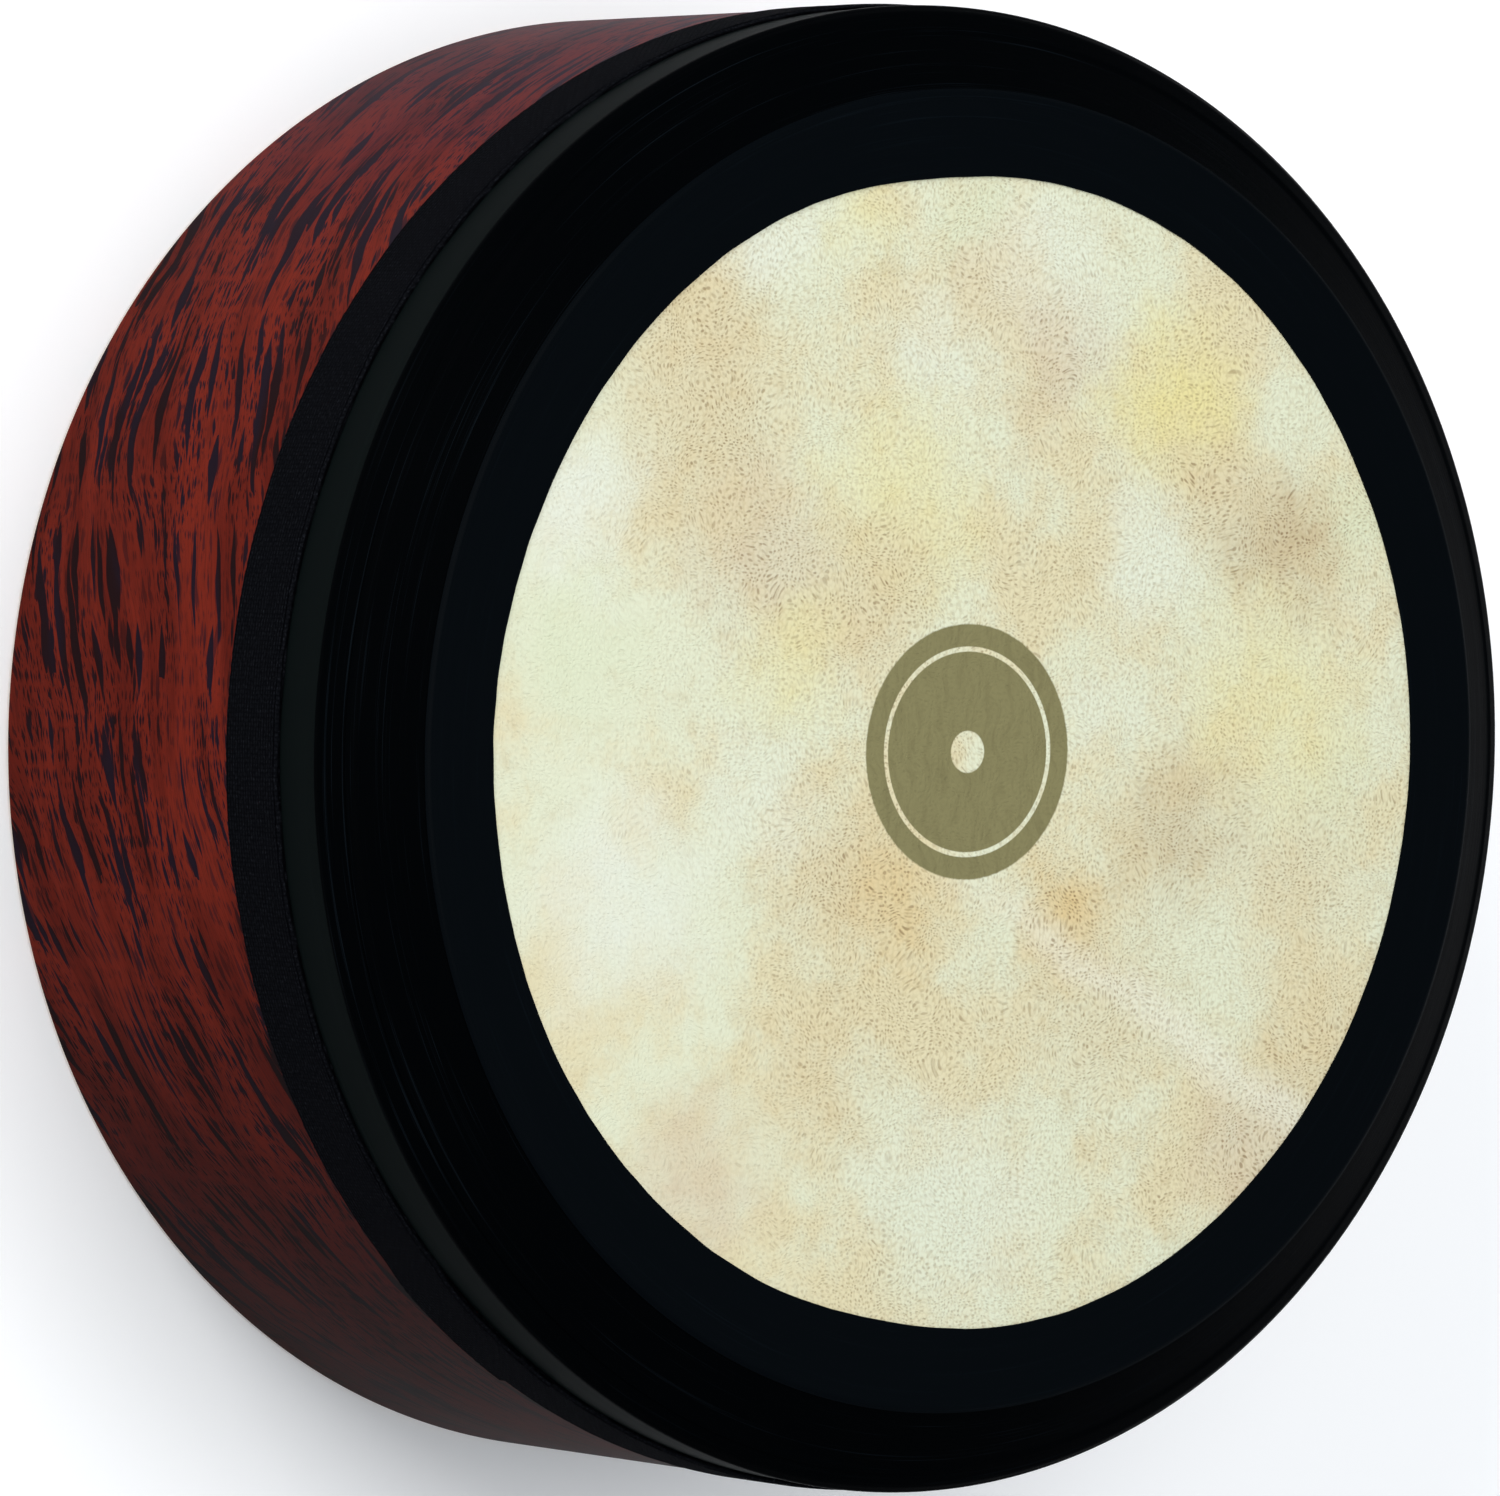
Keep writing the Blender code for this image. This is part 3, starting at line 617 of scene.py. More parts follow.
def make_goatskin(name, printed):
    """The hide's outer or flesh side. Only the outer side is printed, and the ink hardly shows through."""
    finish = Finish(name, specular_ior_level=0.1)
    x, y, _ = finish.split(finish.mm)
    flat = finish.vector(x, y)
    ravel = finish.noise(flat, 0.040, 6.0, 0.66, out="Color")
    shift = finish.vector_math("MULTIPLY_ADD", ravel, (44, 44, 0), (-22, -22, 0))
    ravelled = finish.vector_math("ADD", flat, shift)

    cloud = finish.noise(flat, 0.022, 6.0, 0.62)
    small = finish.noise(flat, 0.10, 5.0, 0.65)
    color = finish.mix(shade(226, 230, 206), shade(226, 217, 182), cloud.ease(0.42, 0.62))
    color = finish.mix(color, shade(200, 182, 142), small.ease(0.50, 0.76) * 0.34)
    warmth = cloud.ease(0.4, 0.65) * 0.4
    for place_x, place_y, size, tone, strength in HIDE_PATCHES:
        away = finish.vector_math("DISTANCE", ravelled, (place_x, place_y, 0.0), out="Value")
        here = away.ease(size * 1.2, size * 0.1) * (strength + (small - 0.5) * 0.6)
        color = finish.mix(color, HIDE_TONES[tone], here)
        if tone in WARM_TONES:
            warmth = finish.most(warmth, here)
        elif tone == "pale":
            warmth = warmth * (1 - here)

    streak = abs(y - x * 1.7 + 50 + (cloud - 0.5) * 40).ease(16, 0)
    color = finish.mix(color, shade(234, 234, 218), streak * x.ease(20, 50) * 0.6)

    bend = finish.noise(flat, 0.06, 2.0, out="Color")
    rows = finish.vector_math("ADD", flat, finish.stretched(bend, 14, 14, 0))
    near, chance = finish.cells(finish.stretched(rows, 1 / 1.05, 1 / 1.35, 1.0), randomness=0.75)
    pit = near.ease(0.38, 0.16) * (0.3 + 0.7 * chance)
    shifted = finish.vector_math("ADD", flat, finish.stretched(bend, 4, 4, 0))
    grain, pale = finish.cells(finish.stretched(shifted, 1 / 1.2, 1 / 0.95, 1.0), randomness=0.8)
    furrow_and_painted_shade = grain.ease(0.30, 0.62) * (0.5 + 0.5 * pale)
    smooth = (y - x * 0.35 + (cloud - 0.5) * 90).ease(-118, -50)
    # Painted shade: the grain's furrows are darkened in the colour, on top of their real relief. This shade
    # and the follicle dots are weaker towards the -Y edge.
    color = finish.mix(color, shade(178, 160, 116), furrow_and_painted_shade * (0.06 + smooth * 0.20))
    color = finish.mix(color, shade(122, 92, 52), pit * (0.26 + warmth * 0.60) * (0.25 + 0.75 * smooth))

    out = finish.from_axis(x, y)
    worn = finish.noise(flat, 0.6, 4.0, 0.7)
    disc = (out + (worn - 0.5) * 0.5).ease(DISC_RADIUS, DISC_RADIUS - 0.5)
    ring = abs(out - THIN_RING).ease(0.75, 0.45)
    dot = out.ease(DOT + 0.2, DOT - 0.2)
    marks = finish.most(ring, dot)
    strands = finish.noise(finish.stretched(rows, 0.10, 0.5, 1.0), detail=4.0, roughness=0.6)
    ink = finish.mix(shade(133, 128, 90), shade(116, 110, 76), strands.ease(0.42, 0.7) * 0.5)
    ink = finish.mix(ink, shade(96, 90, 62), pit * 0.12)
    color = finish.mix(color, ink, disc * (1 - marks) * printed)
    color = finish.mix(color, shade(246, 245, 240), 1.0, "MULTIPLY")
    return finish.surface(color, 0.55 + small * 0.1, 0 - pit * 0.5 - furrow_and_painted_shade * 0.5, depth=0.12)


goatskin = make_goatskin("mottled_goatskin", 1.0)
flesh_side = make_goatskin("goatskin_flesh_side", 0.10)

# %% Goatskin head
TAPE = 0.55 * MM  # thickness of a tape
SKIN_DEPTH = 0.6 * MM  # of the skin's outer face below the tapes'
SKIN = 0.9 * MM
RADIAL_PARTS = 20

skin_top, skin_under = bendable(head_line(SKIN_DEPTH)), bendable(head_line(SKIN_DEPTH + SKIN))
flat_radii = [skin_top[1].x * i / RADIAL_PARTS for i in range(RADIAL_PARTS)]
skin_outline = [(radius, skin_top[0].y) for radius in flat_radii] + [tuple(p) for p in skin_top[1:]]
skin_outline += [tuple(p) for p in reversed(skin_under[1:])]
skin_outline += [(radius, skin_under[0].y) for radius in reversed(flat_radii)]
skin_shape = turn(skin_outline, closed=False)
for face in skin_shape.faces:
    face.material_index = int(face.normal.z < -0.1)
head = piece("goatskin_drumhead", skin_shape, [goatskin, flesh_side], ["goatskin_head"])

# %% [markdown]
# ## Tapes
# Black vinyl tape hides the skin's glued edge. It goes on in courses from the side up to the face, and
# each course laps a little over the last, which leaves a fine raised edge. The inner edge on the face is
# laid by eye, so the bare skin isn't a true circle. A tape is an outline of its outer and inner faces
# with a small lift where it climbs over its neighbour, turned, and then its edge is pulled in and out.

# %% Tape finish
def make_vinyl(name, tone, streaks, roughness, level):
    """Black tape. Its streaks run round the drum, since it was stretched that way as it was laid. Their relief
    is real, and their pale colour is painted sheen.
    """
    finish = Finish(name, specular_ior_level=level)
    x, y, z = finish.split(finish.mm)
    out = finish.from_axis(x, y)
    heading = finish.vector_math("NORMALIZE", finish.vector(x, y))
    turn_x, turn_y, _ = finish.split(heading)
    across = out * 0.85 - z * 0.53
    fine = finish.waver(turn_x * 1.6, turn_y * 1.6, across * 1.9, detail=4.0, roughness=0.7)
    broad = finish.waver(turn_x * 1.1, turn_y * 1.1, across * 0.35 + 7, detail=2.0)
    # Painted sheen: the pale streaks lighten the tape's colour, as highlight lines along the tape would.
    pale = fine.ease(0.58, 0.74) * streaks
    color = finish.mix(tone, tuple(value * 7 for value in tone), pale)
    return finish.surface(color, roughness + (broad - 0.5) * 0.16 - pale * 0.08, fine * streaks, depth=0.06)


face_vinyl = make_vinyl("face_vinyl", shade(4, 7, 10), 0.18, 0.40, 0.012)
shoulder_vinyl = make_vinyl("shoulder_vinyl", shade(2, 3, 4), 1.0, 0.34, 0.002)
side_vinyl = make_vinyl("side_vinyl", shade(8, 13, 13), 0.08, 0.45, 0.005)

# %% Tapes
LAP = 1.2 * MM
LIFT = 0.35 * MM
FACE_TAPE_INNER = 138 * MM
SHOULDER_TAPE_WIDTH = 18.2 * MM
skirt_start = line_length(TOP_LINE) - (SHOULDER[1] - SKIRT_END[1]) + CORNER_ROUNDS[2] - 2.5 * MM


def tape_outline(start, end, lap=0.0, parts=30):
    """A tape from one distance along the head's line to another, with its far edge lapped over the next."""
    outer, inner = [], []
    for i in range(parts + 1):
        distance = start + (end + lap - start) * i / parts
        point, outward = along_line(TOP_LINE, distance)
        climb = max(0.0, (distance - end + lap) / (2 * lap)) if lap else 0.0
        rise = LIFT * min(1.0, climb * 2)
        outer.append(tuple(point + outward * rise))
        inner.append(tuple(point + outward * (rise - (TAPE if rise == 0 else LIFT))))
    return outer + inner[::-1]


def tape(name, node, finish, *span):
    return piece(name, turn(tape_outline(*span)), [finish], [node])


meeting = BREAK_RADIUS + SHOULDER_TAPE_WIDTH
side = tape("side_tape_course", "side_tape", side_vinyl, skirt_start, line_length(TOP_LINE))
lower = tape("lower_shoulder_course", "lower_shoulder_tape", shoulder_vinyl, meeting, skirt_start, LAP)
upper = tape("upper_shoulder_course", "upper_shoulder_tape", shoulder_vinyl, BREAK_RADIUS, meeting, LAP)

# %% Face tape and its hand-laid edge
HAND_LAID = [
    (147, 20, 1.1), (-95, 15, 0.7), (-60, 16, 0.6), (20, 18, 0.7), (185, 12, -1.5), (-10, 13, -1.3),
    (100, 15, 0.3),
]
HAND_LAID_WIDTH = 9 * MM  # of the tape that was pulled in or out along its inner edge

face_shape = turn(tape_outline(FACE_TAPE_INNER, BREAK_RADIUS, LAP))
for vert in face_shape.verts:
    radius = hypot(vert.co.x, vert.co.y)
    share = 1 - min(1.0, (radius - FACE_TAPE_INNER) / HAND_LAID_WIDTH)
    angle = atan2(vert.co.y, vert.co.x)
    jitter = noise.noise(vert.co.normalized() * 26) * 0.18
    change = (wave(angle, *HAND_LAID) + jitter) * MM * share
    vert.co.x *= (radius + change) / radius
    vert.co.y *= (radius + change) / radius
face = piece("face_tape_course", face_shape, [face_vinyl], ["face_tape"])

# %% [markdown]
# Skin and tapes cross the joint between the shell and the tone ring. When the bolts are slackened the
# ring sinks, the flat of the skin goes down with it, and the skirt stays where it is glued. Here these five
# pieces only have their placement baked into their points.

# %% Skin and tapes baked in place
for stretched in (head, side, lower, upper, face):
    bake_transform(stretched)

# %% [markdown]
# ## The cloth band
# A strip of black bookbinder's cloth hides the joint between skirt and veneer. It is a true woven strip,
# a little longer than the drum's girth, so its end laps over its start. It is turned by more than a full
# turn, and where it comes round again it climbs over itself. Its cut edges are slightly frayed.

# %% Cloth finish
THREAD = 1.05  # mm from one thread to the next


def make_cloth():
    finish = Finish("woven_black_cloth", specular_ior_level=0.005)
    along, up, _ = finish.round_place(SHELL_RADIUS / MM)
    sway = finish.waver(along * 0.08, up * 0.12, detail=2.0) * 0.9
    warp, weft = (along + sway) * (pi / THREAD), (up + sway) * (pi / THREAD)
    over = finish.math("SINE", warp) * finish.math("SINE", weft)
    warp_round = abs(finish.math("COSINE", warp))
    weft_round = abs(finish.math("COSINE", weft))
    groove = finish.most(warp_round**6 * 0.55, weft_round**6)
    fuzz = finish.waver(along * 0.9, up * 2.2, detail=4.0, roughness=0.75)
    highlight_specks = finish.waver(along * 1.1, up * 1.6, 5.0, detail=2.0).ease(0.66, 0.78)
    # Painted shade: the grooves between threads are darkened in the colour, on top of their real relief.
    color = finish.mix(shade(11, 12, 15), shade(1, 1, 2), groove * 0.9)
    # Painted highlight: fuzz and specks on the threads are lightened in the colour, as if they caught the
    # light.
    painted_thread_highlight = (fuzz.ease(0.48, 0.8) * 0.5 + highlight_specks * 0.4) * (1 - groove)
    color = finish.mix(color, shade(58, 61, 68), painted_thread_highlight)
    return finish.surface(color, 0.92, over * 0.3 - groove * 0.5 + fuzz * 0.3, depth=0.25)


cloth = make_cloth()

# %% Cloth band
cloth_low, cloth_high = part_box("cloth_band")
CLOTH = 0.4 * MM
CLOTH_ROWS = 10
CLOTH_START, CLOTH_END = radians(-42), radians(327)
CLOTH_STEPS = 1080
cloth_width = cloth_high.z - cloth_low.z
sweep = CLOTH_END - CLOTH_START

COVER = 0.9 * MM  # the cloth's front edge is pressed over the step onto the skirt's end
rows = [(cloth_high.x, cloth_low.z + (cloth_width - 0.2 * MM) * i / CLOTH_ROWS) for i in range(CLOTH_ROWS + 1)]
rows += [
    (cloth_high.x - 0.3 * MM, cloth_high.z + 0.25 * MM),
    (SKIRT_END[0] + CLOTH + 0.06 * MM, cloth_high.z + COVER),
]
cloth_outline = rows[::-1] + [(radius - CLOTH, z) for radius, z in rows]
cloth_shape = turn(cloth_outline, CLOTH_STEPS, angle=sweep)
open_ends = [edge for edge in cloth_shape.edges if edge.is_boundary]
bmesh.ops.holes_fill(cloth_shape, edges=open_ends, sides=0)
bmesh.ops.recalc_face_normals(cloth_shape, faces=cloth_shape.faces)
print("open edges left:", sum(edge.is_boundary for edge in cloth_shape.edges))

# %% Lap and fray the cloth
per_step = len(cloth_outline)
CLIMB_START, CLIMB = radians(354), radians(4)
LAP_RISE, LAP_SHIFT = CLOTH + 0.05 * MM, 0.7 * MM
for i, vert in enumerate(cloth_shape.verts):
    swept = (i // per_step) / CLOTH_STEPS * sweep
    angle = CLOTH_START + swept
    row = (vert.co.z - cloth_low.z) / (cloth_width + COVER)
    climb = min(1.0, max(0.0, (swept - CLIMB_START) / CLIMB))
    climb = climb * climb * (3 - 2 * climb)
    radius = hypot(vert.co.x, vert.co.y) + climb * LAP_RISE
    radius += noise.noise(Vector((angle * 30, row * 4, 3))) * 0.04 * MM
    edge = max(0.0, 1 - 8 * min(row, 1 - row))
    fray = noise.noise(Vector((angle * 160, row * 3, 0))) * 0.28
    fray += noise.noise(Vector((angle * 9, row, 5))) * 0.35
    vert.co.z += (edge * fray * MM) - climb * LAP_SHIFT * (1 - row)
    vert.co.x, vert.co.y = radius * cos(angle), radius * sin(angle)
band = piece("cloth_tape_band", cloth_shape, [cloth], ["cloth_band"], body="drum", sharp=60)

# %% [markdown]
# ## Metal finishes
# Three metals are inside: bright zinc with a faint crystal cloud on the brackets, black oxide on the
# bolts, and turned brass. Metallic is near 1 for all, so each tone colours the reflections themselves.

# %% Metals
def make_zinc():
    finish = Finish("bright_zinc")
    cloud = finish.noise(finish.mm, 0.35, 4.0, 0.6)
    scratch = finish.noise(finish.stretched(finish.mm, 0.3, 3.0, 9.0), detail=3.0)
    tone = finish.mix(shade(176, 180, 186), shade(205, 207, 208), cloud)
    return finish.surface(tone, 0.26 + scratch * 0.2, scratch, depth=0.01, metallic=1.0)


def make_black_steel():
    finish = Finish("black_oxide_steel")
    cloud = finish.noise(finish.mm, 0.8, 4.0, 0.6)
    tone = finish.mix(shade(34, 35, 38), shade(58, 58, 60), cloud.ease(0.4, 0.75))
    return finish.surface(tone, 0.34 + cloud * 0.2, cloud, depth=0.01, metallic=0.9)


def make_brass():
    finish = Finish("turned_brass")
    _, _, z = finish.split(finish.mm)
    rings = finish.waver(z * 9.0, 0.0, detail=3.0)
    stain_and_painted_shade = finish.noise(finish.mm, 0.5, 3.0)
    tone = finish.mix(shade(214, 176, 104), shade(176, 134, 70), stain_and_painted_shade.ease(0.45, 0.75))
    return finish.surface(tone, 0.24 + stain_and_painted_shade * 0.2, rings, depth=0.01, metallic=1.0)


# Each metal is a finish and the name of its slot.
ZINC = (make_zinc(), "zinc_steel")
BLACK_STEEL = (make_black_steel(), "black_steel")
BRASS = (make_brass(), "brass")

# %% [markdown]
# ## Stations
# Six tuners stand evenly round the inside. In each, a bent bracket is screwed to the shell, a flanged bush
# sits in its shelf, and a bolt turns in the bush and pushes on a plate under the tone ring. One of each is
# modelled at the +X side, and copies are turned round the axis to the six stations.

# %% Station helpers
STATIONS = 6
BOLT_CIRCLE = 158.5 * MM
PLATE_CIRCLE = (RING_INNER + RING_OUTER) / 2
SIDES = {"a": -1, "b": 1}


def station(k):
    return Matrix.Rotation(radians(30 + 360 / STATIONS * k), 4, "Z")


def one_each(shift=(0, 0, 0)):
    """A place for each station, by its number."""
    return {str(k + 1): station(k) @ Matrix.Translation(shift) for k in range(STATIONS)}


def pair_each(shift, off, lie=Matrix.Identity(4)):
    """Two places at each station, to either side of the middle."""
    return {
        f"{k + 1}{side}": station(k) @ Matrix.Translation((shift[0], sign * off, shift[2])) @ lie
        for k in range(STATIONS)
        for side, sign in SIDES.items()
    }


def hardware(kind, name, shape, metal, body, places):
    """Copies of one shape in their places, each standing for the CAD node of its kind and label."""
    finish, slot = metal
    total = 0
    for label, place in places.items():
        copied = shape.copy()
        bmesh.ops.transform(copied, matrix=place, verts=copied.verts)
        nodes = [f"{kind}_{label}"]
        made = piece(f"{name}_{label}", copied, [finish], nodes, body.format(label), sharp=30, tell=False)
        total += len(made.data.loop_triangles)
    shape.free()
    print(f"{name}: {len(places)} of {total // len(places)} triangles")


# %% [markdown]
# A screw thread is a groove that climbs as it goes round. The height and the angle of each point on a fine
# cylinder give its place across the groove, so a plain turned shank can be cut by moving its points in
# towards the axis. The groove fades out at both ends. One turn of the bolt is one millimetre of travel.

# %% Threads and recesses
def wall_points(shape, low, high, radius):
    """The points of a turned wall between two heights, each with its distance and angle about the Z axis."""
    for vert in shape.verts:
        out = hypot(vert.co.x, vert.co.y)
        if low < vert.co.z < high and abs(out - radius) < 0.02 * MM:
            yield vert, out, atan2(vert.co.y, vert.co.x)


def press(vert, share):
    vert.co.x, vert.co.y = vert.co.x * share, vert.co.y * share


def cut_thread(shape, low, high, radius, pitch, depth):
    """Cuts a right-hand thread between two heights of a shape turned about the Z axis."""
    for vert, _, angle in wall_points(shape, low, high, radius):
        across = (vert.co.z / pitch - angle / (2 * pi)) % 1
        groove = min(1.0, max(0.0, 1.35 - 3.2 * abs(across - 0.5)))
        ends = min(1.0, (vert.co.z - low) / pitch, (high - vert.co.z) / pitch)
        press(vert, 1 - depth * groove * ends / radius)


def cut_cross(shape, top, sense, arm, width, depth):
    """Presses a cross recess into the end of a turned head. Sense is 1 for a head that looks up, or -1."""
    for vert in shape.verts:
        x, y, z = vert.co
        out, aside = hypot(x, y), min(abs(x), abs(y))
        if out < arm and aside < width and (z - top) * sense > -0.45 * MM:
            vert.co.z -= sense * depth * min(1.0, 1.6 * (1 - out / arm) + 0.25)


def six_sided(shape, low, high, corner):
    """Makes a round bore six-sided between two heights. Corner is the distance out to a corner."""
    for vert, out, angle in wall_points(shape, low, high, corner):
        turned = (angle + 2 * pi) % (pi / 3) - pi / 6
        press(vert, corner * cos(pi / 6) / cos(turned) / out)


def knurl(shape, low, high, radius, depth, steps):
    """Every second line of points round a wall is pressed in."""
    for vert, out, angle in wall_points(shape, low, high, radius):
        if round(angle / (2 * pi) * steps) % 2:
            press(vert, 1 - depth / out)


# %% [markdown]
# The bolts are socket-head screws that point up. The outline runs from the rounded tip, down the threaded
# shank and a short plain neck, round the knurled head, and up into the socket, which ends in a drill point.

# %% Tuning bolts
bolt_low, bolt_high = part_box("tuning_bolt_1")
BOLT_TIP = bolt_high.z
BOLT_STEPS = 48
PITCH = 1.0  # the heights here are in millimetres from the bolt's tip, and downwards is negative
THREAD_START, NECK, HEAD = -2.0, -38, -42
END = (bolt_low.z - bolt_high.z) / MM
SHANK, KNOB, SOCKET = 3.0, 5.0, 2.9  # radii in mm. The socket's is to a corner.

bolt_outline = in_mm(
    (0, 0), (0.8, -0.1), (1.6, -0.4), (2.4, -1.2), (SHANK, THREAD_START),
    *((SHANK, THREAD_START - PITCH * i / 8) for i in range(1, 288)),
    (SHANK, NECK), (SHANK, HEAD + 0.3), (3.3, HEAD), (4.6, HEAD), (KNOB, HEAD - 0.4), (KNOB, HEAD - 0.8),
    (KNOB, HEAD - 4.6), (KNOB, HEAD - 5.2), (4.4, END), (3.2, END), (SOCKET, END + 0.3), (SOCKET, END + 3.4),
    (0, END + 4.2),
)
bolt_shape = turn(bolt_outline, BOLT_STEPS, closed=False)
cut_thread(bolt_shape, NECK * MM, THREAD_START * MM, SHANK * MM, PITCH * MM, 0.55 * MM)
knurl(bolt_shape, (HEAD - 4.7) * MM, (HEAD - 0.7) * MM, KNOB * MM, 0.16 * MM, BOLT_STEPS)
six_sided(bolt_shape, (END + 0.2) * MM, (END + 3.5) * MM, SOCKET * MM)
hardware(
    "tuning_bolt", "threaded_bolt", bolt_shape, BLACK_STEEL, "bolt_{}",
    one_each((BOLT_CIRCLE, 0, BOLT_TIP)),
)

# %% Thread bushes
bush_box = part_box("thread_bush_1")
low, high = bush_box[0].z / MM, bush_box[1].z / MM
under = high - 2.0  # the flange's underside
FLANGE_UNDER = bush_box[1].z - 2.0 * MM
bush_outline = in_mm(
    (3.7, high), (5.4, high), (5.8, high - 0.4), (5.8, under + 0.2), (5.6, under), (4.1, under),
    (4.1, under - 2.9), (3.9, under - 3.0), (3.9, under - 3.5), (4.1, under - 3.6), (4.1, low + 1.0),
    (4.1, low + 0.5), (3.8, low), (3.6, low), (3.3, low + 0.3), (3.3, high - 0.4),
)
bush_shape = turn(bush_outline, BOLT_STEPS)
knurl(bush_shape, (low + 0.9) * MM, (under - 3.55) * MM, 4.1 * MM, 0.14 * MM, BOLT_STEPS)
hardware("thread_bush", "flanged_bush", bush_shape, BRASS, "drum", one_each((BOLT_CIRCLE, 0, 0)))

# %% [markdown]
# ## Sheet metal
# A bracket starts as a flat blank with round corners and drilled holes. The blank's outline and its holes
# are filled with faces in one go, raised to the sheet's thickness, and its rims are softened. Then lines
# are cut across where the fold will be, and every point is carried over the fold on its own radius.

# %% Blanks
ROUND_STEPS = 32


def loop_of(shape, points):
    verts = [shape.verts.new(point) for point in points]
    return verts, [shape.edges.new(pair) for pair in zip(verts, verts[1:] + verts[:1])]


def circle_points(centre, radius, steps=ROUND_STEPS):
    angles = [2 * pi * k / steps for k in range(steps)]
    return [(centre[0] + radius * cos(a), centre[1] + radius * sin(a), 0) for a in angles]


def rounded_points(low, high, corner, steps=8):
    """The outline of a rectangle with rounded corners, flat at height 0."""
    centres = [(high[0] - corner, high[1] - corner), (low[0] + corner, high[1] - corner),
               (low[0] + corner, low[1] + corner), (high[0] - corner, low[1] + corner)]
    points = []
    for quarter, centre in enumerate(centres):
        points += [(*point, 0) for point in arc(centre, corner, quarter * 90, quarter * 90 + 90, steps)]
    return points


def blank(outline, holes, thickness, dimple=None, soften=0.3 * MM):
    """A flat plate from height 0 up, with round holes (x, y, radius) and perhaps one pressed dimple."""
    shape = bmesh.new()
    _, edges = loop_of(shape, outline)
    for x, y, radius in holes:
        edges += loop_of(shape, circle_points((x, y), radius))[1]
    if dimple:
        around, dimple_edges = loop_of(shape, circle_points(dimple[:2], dimple[2]))
        edges += dimple_edges
    bmesh.ops.triangle_fill(shape, use_beauty=True, use_dissolve=False, edges=edges, normal=(0, 0, 1))
    if dimple:
        inside = [face for face in shape.faces
                  if hypot(face.calc_center_median().x - dimple[0], face.calc_center_median().y - dimple[1])
                  < dimple[2] * 0.96 and all(vert in around for vert in face.verts)]
        bmesh.ops.delete(shape, geom=inside, context="FACES_ONLY")
        shape.faces.new(around)
    raised = bmesh.ops.extrude_face_region(shape, geom=list(shape.faces), use_keep_orig=True)["geom"]
    lifted = [v for v in raised if isinstance(v, bmesh.types.BMVert)]
    bmesh.ops.translate(shape, verts=lifted, vec=(0, 0, thickness))
    bmesh.ops.recalc_face_normals(shape, faces=shape.faces)
    rims = [edge for edge in shape.edges if len(edge.link_faces) == 2 and edge.calc_face_angle() > 1.0]
    bmesh.ops.bevel(shape, geom=rims, affect="EDGES", offset=soften, segments=2, profile=0.5, material=-1)
    if dimple:
        facing_down = [face for face in shape.faces if face.normal.z < -0.9]
        floor_face = max(facing_down, key=lambda face: len(face.verts))
        bmesh.ops.inset_individual(shape, faces=[floor_face], thickness=0.25 * MM, depth=-dimple[3] * 0.6)
        bmesh.ops.inset_individual(shape, faces=[floor_face], thickness=0.9 * MM, depth=-dimple[3] * 0.4)
    return shape


# %% Brackets
BRACKET, BRACKET_WIDTH = 2.5 * MM, 30 * MM
BRACKET_BEND = CORNER_ROUND = 4.5 * MM
BRACKET_REACH, BRACKET_DROP = 15.5 * MM, 28 * MM
WOOD_SCREW_OFF, WOOD_SCREW_UP = 9 * MM, 9.5 * MM
FOLD_LINES = 8
bracket_top = FLANGE_UNDER - 0.3 * MM
bracket_back = sqrt(SHELL_INNER**2 - (BRACKET_WIDTH / 2) ** 2) - 0.6 * MM
leg = BRACKET_DROP - BRACKET_BEND
bend = BRACKET_BEND * pi / 2
shelf = BRACKET_REACH - BRACKET_BEND

bush_along = leg + bend + bracket_back - BRACKET_BEND - BOLT_CIRCLE
bracket_shape = blank(
    rounded_points((0, -BRACKET_WIDTH / 2), (leg + bend + shelf, BRACKET_WIDTH / 2), CORNER_ROUND),
    [(bush_along, 0, 4.4 * MM), *((WOOD_SCREW_UP, sign * WOOD_SCREW_OFF, 2.2 * MM) for sign in (-1, 1))],
    BRACKET,
)
for i in range(FOLD_LINES + 1):
    bmesh.ops.bisect_plane(
        bracket_shape,
        geom=[*bracket_shape.verts, *bracket_shape.edges, *bracket_shape.faces],
        plane_co=(leg + bend * i / FOLD_LINES, 0, 0),
        plane_no=(1, 0, 0),
        dist=0.001 * MM,
    )
for vert in bracket_shape.verts:
    along, across, deep = vert.co
    folded = min(bend, max(0.0, along - leg)) / BRACKET_BEND
    arm = BRACKET_BEND - deep
    beyond = max(0.0, along - leg - bend)
    vert.co = (
        bracket_back - BRACKET_BEND + arm * cos(folded) - beyond,
        across,
        bracket_top - BRACKET_BEND + arm * sin(folded) + min(0.0, along - leg),
    )
bmesh.ops.recalc_face_normals(bracket_shape, faces=bracket_shape.faces)
print("bracket, open edges:", sum(not edge.is_manifold for edge in bracket_shape.edges))
hardware("tuner_bracket", "bent_bracket", bracket_shape, ZINC, "drum", one_each())

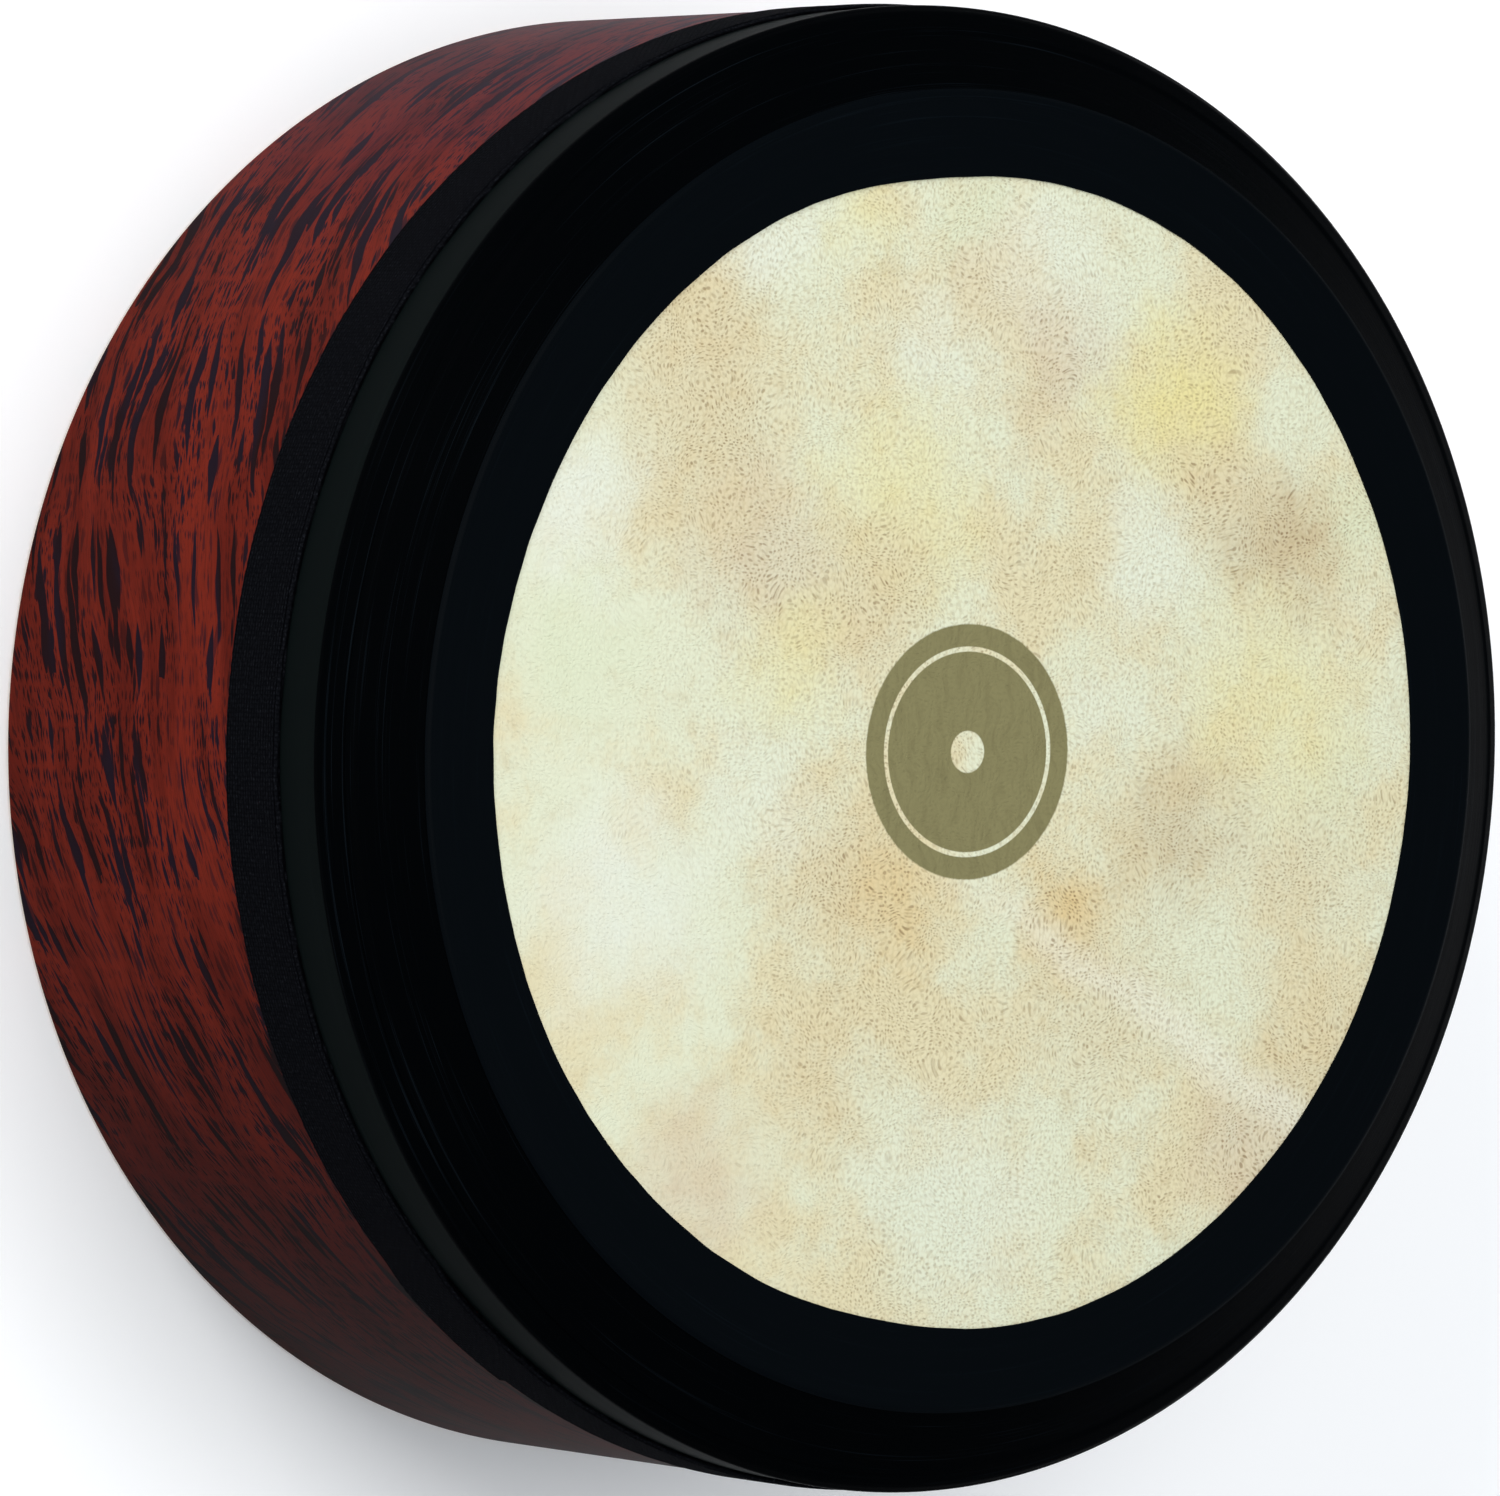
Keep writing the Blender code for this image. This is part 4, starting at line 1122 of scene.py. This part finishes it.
# %% Pressure plates
plate_low, plate_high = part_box("pressure_plate_1")[0].z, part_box("pressure_plate_1")[1].z
PLATE_SCREW_OFF = 9.5 * MM
plate_shape = blank(
    rounded_points((PLATE_CIRCLE - 5.5 * MM, -14 * MM), (PLATE_CIRCLE + 5.5 * MM, 14 * MM), CORNER_ROUND),
    [(PLATE_CIRCLE, sign * PLATE_SCREW_OFF, 3.3 * MM) for sign in (-1, 1)],
    plate_high - plate_low,
    dimple=(BOLT_CIRCLE + 0.1 * MM, 0, 3.0 * MM, 0.6 * MM),
    soften=0.2 * MM,
)
print("plate, open edges:", sum(not edge.is_manifold for edge in plate_shape.edges))
hardware("pressure_plate", "pressure_plate_pressed", plate_shape, ZINC, "ring", one_each((0, 0, plate_low)))

# %% Screws
screw_outline = in_mm(
    (0, 10.0), (0.7, 8.6), *((1.9, 7.0 - 0.2 * i) for i in range(36)),
    (1.9, -0.3), (3.7, -0.3), (3.8, -0.5), (3.8, -1.0), (3.5, -1.6),
    *((out, -(2.4 - 0.062 * out**2)) for out in (2.9, 2.4, 2.0, 1.7, 1.4, 1.1, 0.8, 0.5)), (0, -2.4),
)
screw_shape = turn(screw_outline, ROUND_STEPS, closed=False)
cut_thread(screw_shape, 0.0, 7.1 * MM, 1.9 * MM, 1.4 * MM, 0.5 * MM)
cut_cross(screw_shape, -2.4 * MM, -1, 2.1 * MM, 0.42 * MM, 1.2 * MM)
into_wall = Matrix.Rotation(radians(90), 4, "Y")
screw_height = bracket_top - BRACKET_DROP + WOOD_SCREW_UP
hardware(
    "bracket_screw", "pan_head_screw", screw_shape, ZINC, "drum",
    pair_each((bracket_back - BRACKET, 0, screw_height), WOOD_SCREW_OFF, into_wall),
)

small_outline = in_mm(
    (0, 9.0), (0.5, 8.0), *((1.4, 7.0 - 0.15 * i) for i in range(36)),
    (1.4, 1.6), (2.9, 0.15), (2.9, 0.0), *((out, 0.0) for out in (2.3, 1.9, 1.6, 1.3, 1.0, 0.7, 0.4)), (0, 0),
)
small_shape = turn(small_outline, ROUND_STEPS, closed=False)
cut_thread(small_shape, 1.8 * MM, 7.1 * MM, 1.4 * MM, 1.1 * MM, 0.35 * MM)
cut_cross(small_shape, 0.0, -1, 1.7 * MM, 0.34 * MM, 0.9 * MM)
hardware(
    "plate_screw", "flat_head_screw", small_shape, BRASS, "ring",
    pair_each((PLATE_CIRCLE, 0, plate_low), PLATE_SCREW_OFF),
)
